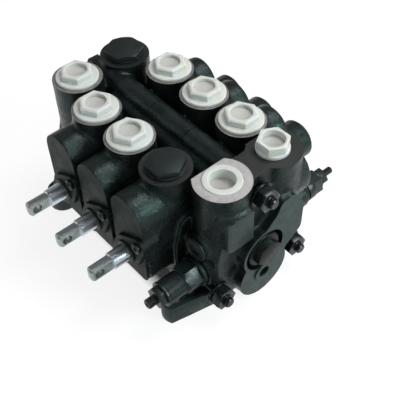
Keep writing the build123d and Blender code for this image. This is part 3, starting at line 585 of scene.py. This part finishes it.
# Material name, what makes it, and the rest of what that needs
FINISHES = {
    "cast": ("cast_black_paint", cast_paint),
    # Painted light and shade: a lighter copy of the machined-face paint on the side faces, a darker
    # olive one on the front faces.
    "side": ("side_facing_paint", faced_paint, "facing_colour", 0.46, 0.33),
    "front": ("front_facing_paint", faced_paint, "front_colour", 0.5, 0.14),
    "tops": ("faced_port_tops", port_tops),
    "chrome": ("ground_chrome", chrome),
    "cap": ("moulded_white_plastic", cap_plastic),
    "steel": ("blackened_steel", steel_paint, (0.004, 0.005, 0.0055), 0.22, 0.45),
    "relief": ("relief_black_steel", steel_paint, (0.010, 0.015, 0.015), 0.3, 0.46),
    "plug": ("plug_black_steel", steel_paint, (0.010, 0.0125, 0.012), 0.48),
    "pressed": ("pressed_black_steel", steel_paint, (0.004, 0.006, 0.005), 0.36, 0.14),
    "thread": ("dark_threaded_screw", threaded_steel),
    "screw": ("dark_socket_screw", plain_metal, (0.02, 0.022, 0.023), 0.3, 0.5),
    "bright": ("bright_turned_steel", plain_metal, (0.55, 0.56, 0.56), 0.3, 1.0),
    "spring": ("oiled_spring_steel", plain_metal, (0.28, 0.28, 0.29), 0.3, 1.0),
    "rubber": ("seal_black_rubber", steel_paint, (0.006, 0.006, 0.006), 0.5),
}


def finish(look):
    """The material of a finish, made once."""
    name, make, *values = FINISHES[look]
    return bpy.data.materials.get(name) or make(name, *values)


def settle(shape, name, finishes, body, node=None, sharp_angle=SHARP_ANGLE):
    """Turns a bmesh into a finished piece that rides on a body and stands for a node.

    With no body it is left free.
    """
    mesh = bpy.data.meshes.new(name)
    shape.to_mesh(mesh)
    shape.free()
    piece = bpy.data.objects.new(name, mesh)
    bpy.context.scene.collection.objects.link(piece)
    for look in finishes:
        mesh.materials.append(finish(look))
    mesh.shade_smooth()
    mesh.set_sharp_from_angle(angle=sharp_angle)
    if body:
        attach(piece, body)
    if node:
        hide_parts(node)
        slot_of(node)
    return piece


def slot_of(node):
    """The record's material slot of a node."""
    return next(p["material_slot"] for p in frame["record"]["subparts"] if p["node"] == node)


def body_of(node):
    """The body that a node belongs to."""
    bodies = frame["record"]["behaviour"]["bodies"]
    return next(body for body, nodes in bodies.items() if node in nodes)


def merged_copy(node):
    """A node's mesh as a closed bmesh."""
    shape = bmesh.new()
    shape.from_mesh(frame["nodes"][node].data)
    bmesh.ops.remove_doubles(shape, verts=shape.verts, dist=NODE_WELD)
    return shape


def poured(node, planes, add=None):
    """A casting as it leaves the sand: stock on its machined faces, soft corners, uneven skin."""
    casting = bpy.context.scene.valve_casting
    shape = merged_copy(node)
    for point, normal, reach in planes:
        for vert in shape.verts:
            if (vert.co - point).dot(normal) > -reach:
                vert.co += normal * casting.stock
    if add:
        add(shape)
    mesh = bpy.data.meshes.new("pattern")
    shape.to_mesh(mesh)
    shape.free()
    pattern = bpy.data.objects.new("pattern", mesh)
    bpy.context.scene.collection.objects.link(pattern)
    remesh = pattern.modifiers.new("skin", "REMESH")
    remesh.mode = "VOXEL"
    remesh.voxel_size = casting.grid
    blend = pattern.modifiers.new("blend", "SMOOTH")
    blend.factor = 0.5
    blend.iterations = casting.blend_rounds
    waves = bpy.data.textures.new("waves", "CLOUDS")
    waves.noise_scale = SKIN_WAVE
    wave = pattern.modifiers.new("waves", "DISPLACE")
    wave.texture = waves
    wave.texture_coords = "GLOBAL"
    wave.strength = casting.unevenness
    wave.mid_level = 0.5
    graph = bpy.context.evaluated_depsgraph_get()
    skin = bpy.data.meshes.new_from_object(pattern.evaluated_get(graph))
    shape = bmesh.new()
    shape.from_mesh(skin)
    bpy.data.objects.remove(pattern)
    bpy.data.meshes.remove(skin)
    return shape


def mill(shape, point, normal, material_index=SKIN):
    """Cuts a casting flat at a plane and closes the cut."""
    geometry = shape.verts[:] + shape.edges[:] + shape.faces[:]
    cut = bmesh.ops.bisect_plane(
        shape, geom=geometry, plane_co=point, plane_no=normal, clear_outer=True)
    edges = [e for e in cut["geom_cut"] if isinstance(e, bmesh.types.BMEdge)]
    filled = bmesh.ops.triangle_fill(
        shape, use_beauty=True, use_dissolve=False, edges=edges, normal=normal)
    for face in filled["geom"]:
        if isinstance(face, bmesh.types.BMFace):
            face.material_index = material_index
            if face.normal.dot(normal) < 0:
                face.normal_flip()


def part_line(shape, front):
    """Wavy parting groove on the flanks of a front housing, just behind its front face."""
    depth = bpy.context.scene.valve_casting.flash
    for vert in shape.verts:
        behind = vert.co.y - front
        height = vert.co.z
        if not (0 < behind < GROOVE_ZONE and GROOVE_LOW < height < GROOVE_HIGH):
            continue
        if abs(vert.normal.x) < FLANK_LEAN:
            continue
        wave = sum(swing * sin(height / length) for swing, length in GROOVE_WAVES)
        away = (behind - GROOVE_BEHIND - wave) / GROOVE_HALF
        fade = min(1.0, (GROOVE_HIGH - height) / GROOVE_FADE)
        if abs(away) < 1:
            side = 1 if vert.normal.x > 0 else -1
            vert.co.x -= side * depth * fade * (1 - away * away)


class VALVE_OT_work_sections(bpy.types.Operator):
    """Pour and machine the three work sections"""

    bl_idname = "valve.work_sections"
    bl_label = "Work sections"

    def execute(self, context):
        seam = context.scene.valve_casting.seam
        for name in WORK_SECTIONS:
            low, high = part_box(name)
            planes = [
                (Vector((0, low.y, 0)), -Y, ON_FACE),
                (Vector((0, high.y, 0)), Y, ON_FACE),
                (Vector((0, 0, PORT_FACE)), Z, NEAR_PORT_FACE),
                (Vector((low.x, 0, 0)), -X, ON_FACE),
                (Vector((high.x, 0, 0)), X, ON_FACE),
            ]
            shape = poured(name, planes)
            shape.normal_update()
            part_line(shape, low.y)
            mill(shape, Vector((0, low.y, 0)), -Y, FACING)
            mill(shape, Vector((0, high.y, 0)), Y, FACING)
            mill(shape, Vector((0, 0, PORT_FACE)), Z, TOPS)
            mill(shape, Vector((low.x + seam, 0, 0)), -X)
            mill(shape, Vector((high.x - seam, 0, 0)), X)
            mill(shape, Vector((0, 0, low.z)), -Z)
            settle(shape, f"{name}_casting", ["cast", "front", "tops"], BLOCK, name)
        return {"FINISHED"}


def rolled_bead(shape):
    """Bead round the foot of the pressure boss, added to the sand pattern."""
    radius = bpy.context.scene.valve_casting.bead
    middle = node_box("inlet_port_plug")[2]
    centre = (middle.x, middle.y, 0)
    upright = Matrix.Rotation(pi / 2, 3, "X")
    start = Matrix.Rotation(BEAD_START, 3, "Z")
    ring = bmesh.ops.create_circle(shape, segments=BEAD_SIDES, radius=radius)["verts"]
    bmesh.ops.rotate(shape, verts=ring, cent=(0, 0, 0), matrix=upright)
    bmesh.ops.translate(shape, verts=ring, vec=(BEAD_RING, 0, BEAD_HEIGHT))
    bmesh.ops.rotate(shape, verts=ring, cent=(0, 0, 0), matrix=start)
    bmesh.ops.translate(shape, verts=ring, vec=centre)
    edges = list(dict.fromkeys(e for v in ring for e in v.link_edges))
    bmesh.ops.spin(shape, geom=ring + edges, cent=centre, axis=Z, angle=BEAD_SWEEP,
                   steps=BEAD_STEPS, use_merge=False)
    open_edges = [e for e in shape.edges if e.is_boundary]
    bmesh.ops.holes_fill(shape, edges=open_edges, sides=0)


def cut_from(node, planes, finishes, name):
    """The crisp part of a casting inside some planes, closed again."""
    shape = merged_copy(node)
    for point, normal in planes:
        mill(shape, Vector(point), normal)
    finished_edges(shape, name, finishes, BLOCK, CRISP_EDGE)


class VALVE_OT_end_sections(bpy.types.Operator):
    """Pour and machine the outlet and inlet sections"""

    bl_idname = "valve.end_sections"
    bl_label = "End sections"

    def execute(self, context):
        self.outlet(context)
        self.inlet(context)
        return {"FINISHED"}

    def outlet(self, context):
        """The end section that carries the tank port."""
        seam = context.scene.valve_casting.seam
        low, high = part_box("outlet_end_section")
        planes = [
            (Vector((high.x, 0, 0)), X, ON_FACE),
            (Vector((0, 0, PORT_FACE)), Z, NEAR_PORT_FACE),
            (Vector((0, 0, low.z)), -Z, ON_FACE),
        ]
        shape = poured("outlet_end_section", planes)
        mill(shape, Vector((high.x - seam, 0, 0)), X)
        mill(shape, Vector((0, 0, PORT_FACE)), Z, TOPS)
        mill(shape, Vector((0, 0, low.z)), -Z, FACING)
        settle(shape, "outlet_end_section_casting", ["cast", "side", "tops"], BLOCK,
               "outlet_end_section")

    def inlet(self, context):
        """The section with the pressure boss, its foot and pad left crisp."""
        seam = context.scene.valve_casting.seam
        low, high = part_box("inlet_section")
        flat = high.x - LOBE_STEP
        planes = [
            (Vector((low.x, 0, 0)), -X, ON_FACE),
            (Vector((flat, 0, 0)), X, ON_FACE),
            (Vector((0, 0, PORT_FACE)), Z, NEAR_PORT_FACE),
            (Vector((0, 0, low.z)), -Z, ON_FACE),
        ]
        shape = poured("inlet_section", planes, rolled_bead)
        mill(shape, Vector((low.x + seam, 0, 0)), -X)
        mill(shape, Vector((flat, 0, 0)), X, FACING)
        mill(shape, Vector((0, 0, PORT_FACE)), Z, TOPS)
        mill(shape, Vector((0, 0, low.z)), -Z, FACING)
        settle(shape, "inlet_section_casting", ["cast", "side", "tops"], BLOCK, "inlet_section")
        cut_from("inlet_section", FOOT_PLANES, ["side"], "inlet_section_foot")
        cut_from("inlet_section", PAD_PLANES, ["side"], "inlet_section_pad")
        self.lobe_ring(flat, high.x)

    def lobe_ring(self, flat, top):
        """The turned ring round the lobe's bore, from inside the metal up to its crisp face."""
        shape = bmesh.new()
        bottom = flat - LOBE_DEPTH
        profile = [
            (flat - MM, LOBE_RING), (top - LOBE_EDGE, LOBE_RING), (top, LOBE_RING - LOBE_EDGE),
            (top, LOBE_BORE + LOBE_EDGE), (top - LOBE_EDGE, LOBE_BORE), (bottom, LOBE_BORE),
            (bottom, LOBE_BORE + MM), (flat - MM, LOBE_RING - 2 * MM)]
        turned(shape, profile, LOBE_CENTRE, True)
        finished = settle(shape, "inlet_section_lobe_ring", ["side"], BLOCK)


def turned(shape, profile, centre, closed=False):
    """Turns a profile of (X, radius) points round an axis along X."""
    verts = [shape.verts.new((x, centre.y, centre.z + radius)) for x, radius in profile]
    pairs = list(zip(verts, verts[1:]))
    if closed:
        pairs.append((verts[-1], verts[0]))
    edges = [shape.edges.new(pair) for pair in pairs]
    bmesh.ops.spin(shape, geom=verts + edges, cent=centre, axis=X, angle=2 * pi,
                   steps=TURNED_STEPS, use_merge=True)
    bmesh.ops.remove_doubles(shape, verts=shape.verts, dist=TURNED_WELD)
    bmesh.ops.recalc_face_normals(shape, faces=shape.faces)


def finished_edges(shape, name, finishes, body, width, segments=2, node=None):
    """Joins the triangles of flat faces, breaks the sharp edges and settles the piece."""
    bmesh.ops.dissolve_limit(
        shape, angle_limit=FLAT_ANGLE, verts=shape.verts, edges=shape.edges, delimit={"NORMAL"})
    sharp = [e for e in shape.edges
             if len(e.link_faces) == 2 and e.calc_face_angle(0) > EDGE_ANGLE]
    bmesh.ops.bevel(
        shape, geom=sharp, offset=width, offset_type="OFFSET", segments=segments, profile=0.5,
        affect="EDGES", clamp_overlap=True, material=-1)
    piece = settle(shape, name, finishes, body, node, BEVELLED_ANGLE)


def broken_edges(node, finishes, width):
    """A node's own form with its edges broken."""
    finished_edges(
        merged_copy(node), f"{node}_finished", finishes, body_of(node), width, node=node)


def moulded_cap(node, edge):
    """A port cap screwed down to its own angle, with its hexagon drafted out a little."""
    shape = merged_copy(node)
    _, high, middle = node_box(node)
    if node in WHITE_CAPS:
        bmesh.ops.rotate(
            shape, verts=shape.verts, cent=middle, matrix=Matrix.Rotation(CAP_TURN, 3, "Z"))
        for vert in shape.verts:
            away = Vector((vert.co.x - middle.x, vert.co.y - middle.y, 0))
            if vert.co.z > high.z - HEXAGON_TALL and HEXAGON_LEAST < away.length < HEXAGON_MOST:
                vert.co += away * HEXAGON_DRAFT
    finished_edges(shape, f"{node}_finished", ["cap"], body_of(node), edge, 3, node)


class VALVE_OT_tie_rods(bpy.types.Operator):
    """Turn the tie rods and roll the threads on their ends"""

    bl_idname = "valve.tie_rods"
    bl_label = "Tie rods"

    def execute(self, context):
        shape = bmesh.new()
        for centre, start, end in self.rods():
            first, last = start + THREAD_LENGTH, end - THREAD_LENGTH
            turned(shape, [
                (start, 0), (start, THREAD_ROOT - ROD_CHAMFER), (start + ROD_CHAMFER, THREAD_ROOT),
                (first, THREAD_ROOT), (first, ROD_RADIUS), (last, ROD_RADIUS), (last, THREAD_ROOT),
                (end - ROD_CHAMFER, THREAD_ROOT), (end, THREAD_ROOT - ROD_CHAMFER), (end, 0),
            ], centre)
            self.ridge(shape, centre, start + ROD_CHAMFER)
            self.ridge(shape, centre, last)
        settle(shape, "tie_rods_threaded", ["steel"], BLOCK, "tie_rods")
        return {"FINISHED"}

    def rods(self):
        """Axis point, start and end of each rod, read from the frame."""
        shape = merged_copy("tie_rods")
        found = []
        for vert in shape.verts:
            place = vert.co.copy()
            rod = next((r for r in found if (r[0].yz - place.yz).length < RODS_APART), None)
            if rod is None:
                found.append([place])
            else:
                rod.append(place)
        shape.free()
        for points in found:
            xs, ys, zs = zip(*points)
            centre = Vector((0, (min(ys) + max(ys)) / 2, (min(zs) + max(zs)) / 2))
            yield centre, min(xs), max(xs)

    def ridge(self, shape, centre, start):
        """One closed helical ridge of a thread."""
        pitch = bpy.context.scene.valve_steel.thread_pitch
        inner = THREAD_ROOT - 0.1 * MM
        profile = [(start, inner), (start + pitch / 2, ROD_RADIUS), (start + pitch * 0.98, inner)]
        verts = [shape.verts.new((x, centre.y, centre.z + radius)) for x, radius in profile]
        edges = [shape.edges.new((verts[i], verts[(i + 1) % 3])) for i in range(3)]
        turns = int((THREAD_LENGTH - 2 * ROD_CHAMFER) / pitch) - 1
        made = bmesh.ops.spin(
            shape, geom=verts + edges, cent=centre, axis=X, dvec=X * (pitch / THREAD_STEPS),
            angle=2 * pi * turns, steps=THREAD_STEPS * turns, use_merge=False)
        last = [g for g in made["geom_last"] if isinstance(g, bmesh.types.BMVert)]
        shape.faces.new(verts)
        shape.faces.new(last)
        bmesh.ops.recalc_face_normals(shape, faces=shape.faces)


PLAIN_PIECES = {
    "chrome": [f"spool_{n}" for n in SECTIONS],
    "steel": ["tie_rod_washers", "tie_rod_nuts"],
    "front": [f"wiper_retainer_{n}" for n in SECTIONS],
    "pressed": ["gallery_plug"],
    "cast": [f"spring_cap_{n}" for n in SECTIONS],
    "screw": ["wiper_retainer_screws", "spring_cap_screws"],
    "thread": ["front_relief_adjuster", "rear_relief_adjuster"],
    "relief": [f"{end}_relief_{part}" for part in ("cartridge", "lock_nut", "lock_washer")
               for end in ("front", "rear")],
    "plug": ["port_plug_front_3", "carry_over_plug", "check_valve_plug"],
    "rubber": [f"spool_wiper_{n}" for n in SECTIONS]
    + ["port_plug_seal_rings", "front_relief_collar", "rear_relief_collar"],
    "bright": [f"{part}_{n}" for part in ("stop_bolt", "moving_spring_seat", "fixed_spring_seat")
               for n in SECTIONS],
    "cap": WHITE_CAPS + ["inlet_port_plug", "port_cap_return"],
}

# Share of a broken edge's width that the thin pressed retainers get
RETAINER_EDGE = 0.3


class VALVE_OT_plain_pieces(bpy.types.Operator):
    """Break the edges of the turned, pressed and moulded pieces"""

    bl_idname = "valve.plain_pieces"
    bl_label = "Plain pieces"

    def execute(self, context):
        steel = context.scene.valve_steel
        caps = context.scene.valve_caps
        for look, nodes in PLAIN_PIECES.items():
            width = steel.edge * (RETAINER_EDGE if look == "front" else 1)
            for node in nodes:
                if look == "cap":
                    moulded_cap(node, caps.edge)
                else:
                    broken_edges(node, [look], width)
        for n in SECTIONS:
            wound_spring(n)
        return {"FINISHED"}


def wound_spring(n):
    """A centring spring, smooth shaded from its own node and left free of any body."""
    node = f"centring_spring_{n}"
    low, high, middle = node_box(node)
    piece = settle(merged_copy(node), f"{node}_wound", ["spring"], None, node, COIL_ANGLE)
    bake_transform(piece)


def lamp(name, colour, place, energy, size):
    """A soft lamp aimed at the middle of the valve."""
    data = bpy.data.lights.new(name, "AREA")
    data.color = colour
    data.energy = energy
    data.shape = "DISK"
    data.size = size
    made = bpy.data.objects.new(name, data)
    made.location = place
    aim = Vector(VALVE_MIDDLE) - Vector(place)
    made.rotation_euler = aim.to_track_quat("-Z", "Y").to_euler()
    bpy.context.scene.collection.objects.link(made)


def pick_by_ray(tree, ray, plain, seen):
    """One shader for a kind of ray and another for the rest."""
    path = tree.nodes.new("ShaderNodeLightPath")
    mix = tree.nodes.new("ShaderNodeMixShader")
    tree.links.new(path.outputs[ray], mix.inputs[0])
    tree.links.new(plain, mix.inputs[1])
    tree.links.new(seen, mix.inputs[2])
    return mix.outputs[0]


def white_glow(tree, strength):
    """A white emission; its strength is a number or a socket."""
    glow = tree.nodes.new("ShaderNodeEmission")
    glow.inputs["Color"].default_value = (1, 1, 1, 1)
    if isinstance(strength, bpy.types.NodeSocket):
        tree.links.new(strength, glow.inputs["Strength"])
    else:
        glow.inputs["Strength"].default_value = strength
    return glow.outputs[0]


class VALVE_OT_stage(bpy.types.Operator):
    """Set the camera, the floor and the lamps"""

    bl_idname = "valve.stage"
    bl_label = "Stage"

    def execute(self, context):
        scene = context.scene
        scene.view_settings.view_transform = "Standard"
        self.camera(scene, scene.valve_stage)
        self.floor()
        self.world(scene)
        for values in LAMPS:
            lamp(*values)
        return {"FINISHED"}

    def camera(self, scene, stage):
        """The camera, set by its turn, height, roll and distance from its target."""
        turn, lift, roll = radians(stage.azimuth), radians(stage.elevation), radians(stage.roll)
        back = Vector((sin(turn) * cos(lift), -cos(turn) * cos(lift), sin(lift)))
        right = Z.cross(back).normalized()
        up = back.cross(right)
        side = cos(roll) * right + sin(roll) * up
        top = -sin(roll) * right + cos(roll) * up
        place = Vector(stage.target) + back * stage.distance
        data = bpy.data.cameras.new("camera")
        data.lens = stage.lens
        data.sensor_width = 36
        data.clip_start = 0.02
        camera = bpy.data.objects.new("camera", data)
        camera.matrix_world = Matrix((
            (side.x, top.x, back.x, place.x),
            (side.y, top.y, back.y, place.y),
            (side.z, top.z, back.z, place.z),
            (0, 0, 0, 1),
        ))
        scene.collection.objects.link(camera)
        scene.camera = camera

    def floor(self):
        """A pale floor that shows and mirrors brighter than it lights the valve, with painted shade
        under the block and before the inlet section.
        """
        shape = bmesh.new()
        bmesh.ops.create_circle(shape, cap_ends=True, segments=64, radius=FLOOR_RADIUS)
        bmesh.ops.translate(shape, verts=shape.verts, vec=(0, 0, CAD_BOX[0].z - FLOOR_GAP))
        mesh = bpy.data.meshes.new("floor")
        shape.to_mesh(mesh)
        shape.free()
        floor = bpy.data.objects.new("floor", mesh)
        bpy.context.scene.collection.objects.link(floor)
        made, tree, shader, where = material("pale_floor")
        shader.inputs["Base Color"].default_value = (0.9, 0.9, 0.9, 1)
        shader.inputs["Roughness"].default_value = 0.9
        shader.inputs["Specular IOR Level"].default_value = 0.0
        under = self.painted_shadow_under_block(tree, where)
        shaded = tree.nodes.new("ShaderNodeBsdfDiffuse")
        shaded.inputs["Color"].default_value = (FLOOR_TONE, FLOOR_TONE, FLOOR_TONE, 1)
        # Painted shadow: the glow that the camera sees fades out under the block.
        glow = white_glow(tree, spread(tree, under, 0, 1, FLOOR_SEEN, SHADE_SEEN))
        pale = tree.nodes.new("ShaderNodeAddShader")
        tree.links.new(shaded.outputs[0], pale.inputs[0])
        tree.links.new(glow, pale.inputs[1])
        # Painted shade: gloss sees the floor dimmed under the block and on the patch before the
        # inlet section.
        dim = combine(tree, "MAXIMUM", under, self.mirrored_painted_shade(tree, where))
        mirrored = white_glow(tree, spread(tree, dim, 0, 1, FLOOR_MIRRORED, SHADE_MIRRORED))
        seen = pick_by_ray(tree, "Is Camera Ray", shader.outputs[0], pale.outputs[0])
        seen = pick_by_ray(tree, "Is Glossy Ray", seen, mirrored)
        seen = pick_by_ray(tree, "Is Transmission Ray", seen, white_glow(tree, FLOOR_MIRRORED))
        tree.links.new(seen, tree.nodes["Material Output"].inputs["Surface"])
        mesh.materials.append(made)

    def painted_shadow_under_block(self, tree, where):
        """One on the floor right under the block, where the floor's glow is dimmed as a painted
        shadow.
        """
        x, y = along(tree, where, "X"), along(tree, where, "Y")
        left = spread(tree, x, *SHADE_LEFT, 0, 1)
        right = spread(tree, x, *SHADE_RIGHT, 1, 0)
        front = spread(tree, y, *SHADE_FRONT, 0, 1)
        rear = spread(tree, y, *SHADE_REAR, 1, 0)
        return combine(tree, "MULTIPLY", combine(tree, "MULTIPLY", left, right),
                       combine(tree, "MULTIPLY", front, rear))

    def mirrored_painted_shade(self, tree, where):
        """Nearly one on the patch of floor painted in shade, whose dark shape the black paint
        mirrors.
        """
        away = distance_to(tree, where, PATCH_CENTRE)
        return spread(tree, away, *PATCH_FADE, PATCH_DEPTH, 0)

    def world(self, scene):
        """White for the camera, a graded studio for gloss and an even fill for the rest."""
        world = bpy.data.worlds.new("studio")
        world.use_nodes = True
        tree = world.node_tree
        background = tree.nodes["Background"]
        background.inputs["Color"].default_value = (1, 1, 1, 1)
        where = tree.nodes.new("ShaderNodeTexCoord")
        graded = self.studio_ramp(tree, along(tree, where.outputs["Generated"], "Z"))
        path = tree.nodes.new("ShaderNodeLightPath")
        light = tree.nodes.new("ShaderNodeMix")
        light.inputs["A"].default_value = STUDIO_FILL
        tree.links.new(path.outputs["Is Glossy Ray"], light.inputs["Factor"])
        tree.links.new(graded, light.inputs["B"])
        level = tree.nodes.new("ShaderNodeMix")
        level.inputs["B"].default_value = 1.0
        tree.links.new(path.outputs["Is Camera Ray"], level.inputs["Factor"])
        tree.links.new(light.outputs["Result"], level.inputs["A"])
        tree.links.new(level.outputs["Result"], background.inputs["Strength"])
        scene.world = world

    def studio_ramp(self, tree, height):
        """Brightness that gloss sees, from the horizon to overhead: dark, soft grey, dark."""
        ramp = tree.nodes.new("ShaderNodeValToRGB")
        while len(ramp.color_ramp.elements) < len(STUDIO_STEPS):
            ramp.color_ramp.elements.new(0.5)
        for element, (place, level) in zip(ramp.color_ramp.elements, STUDIO_STEPS):
            element.position = place
            element.color = (level, level, level, 1)
        tree.links.new(height, ramp.inputs["Fac"])
        return ramp.outputs["Color"]


class VALVE_PT_panel(bpy.types.Panel):
    """Steps that dress the valve"""

    bl_label = "Sectional valve"
    bl_idname = "VALVE_PT_panel"
    bl_space_type = "VIEW_3D"
    bl_region_type = "UI"
    bl_category = "Valve"

    def draw(self, context):
        for operator in OPERATORS:
            self.layout.operator(operator.bl_idname)


SETTINGS = {
    "valve_paint": PaintSettings,
    "valve_casting": CastingSettings,
    "valve_caps": CapSettings,
    "valve_steel": SteelSettings,
    "valve_stage": StageSettings,
}
OPERATORS = (
    VALVE_OT_stage,
    VALVE_OT_work_sections,
    VALVE_OT_end_sections,
    VALVE_OT_tie_rods,
    VALVE_OT_plain_pieces,
)


def register():
    """Adds the settings, the steps and the panel."""
    for name, group in SETTINGS.items():
        bpy.utils.register_class(group)
        setattr(bpy.types.Scene, name, bpy.props.PointerProperty(type=group))
    for one in (*OPERATORS, VALVE_PT_panel):
        bpy.utils.register_class(one)


def unregister():
    """Takes them away again."""
    for one in (VALVE_PT_panel, *reversed(OPERATORS)):
        bpy.utils.unregister_class(one)
    for name, group in reversed(SETTINGS.items()):
        delattr(bpy.types.Scene, name)
        bpy.utils.unregister_class(group)


def main():
    """Runs every step."""
    register()
    bpy.ops.valve.stage()
    bpy.ops.valve.work_sections()
    bpy.ops.valve.end_sections()
    bpy.ops.valve.tie_rods()
    bpy.ops.valve.plain_pieces()


if __name__ == "__main__":
    main()
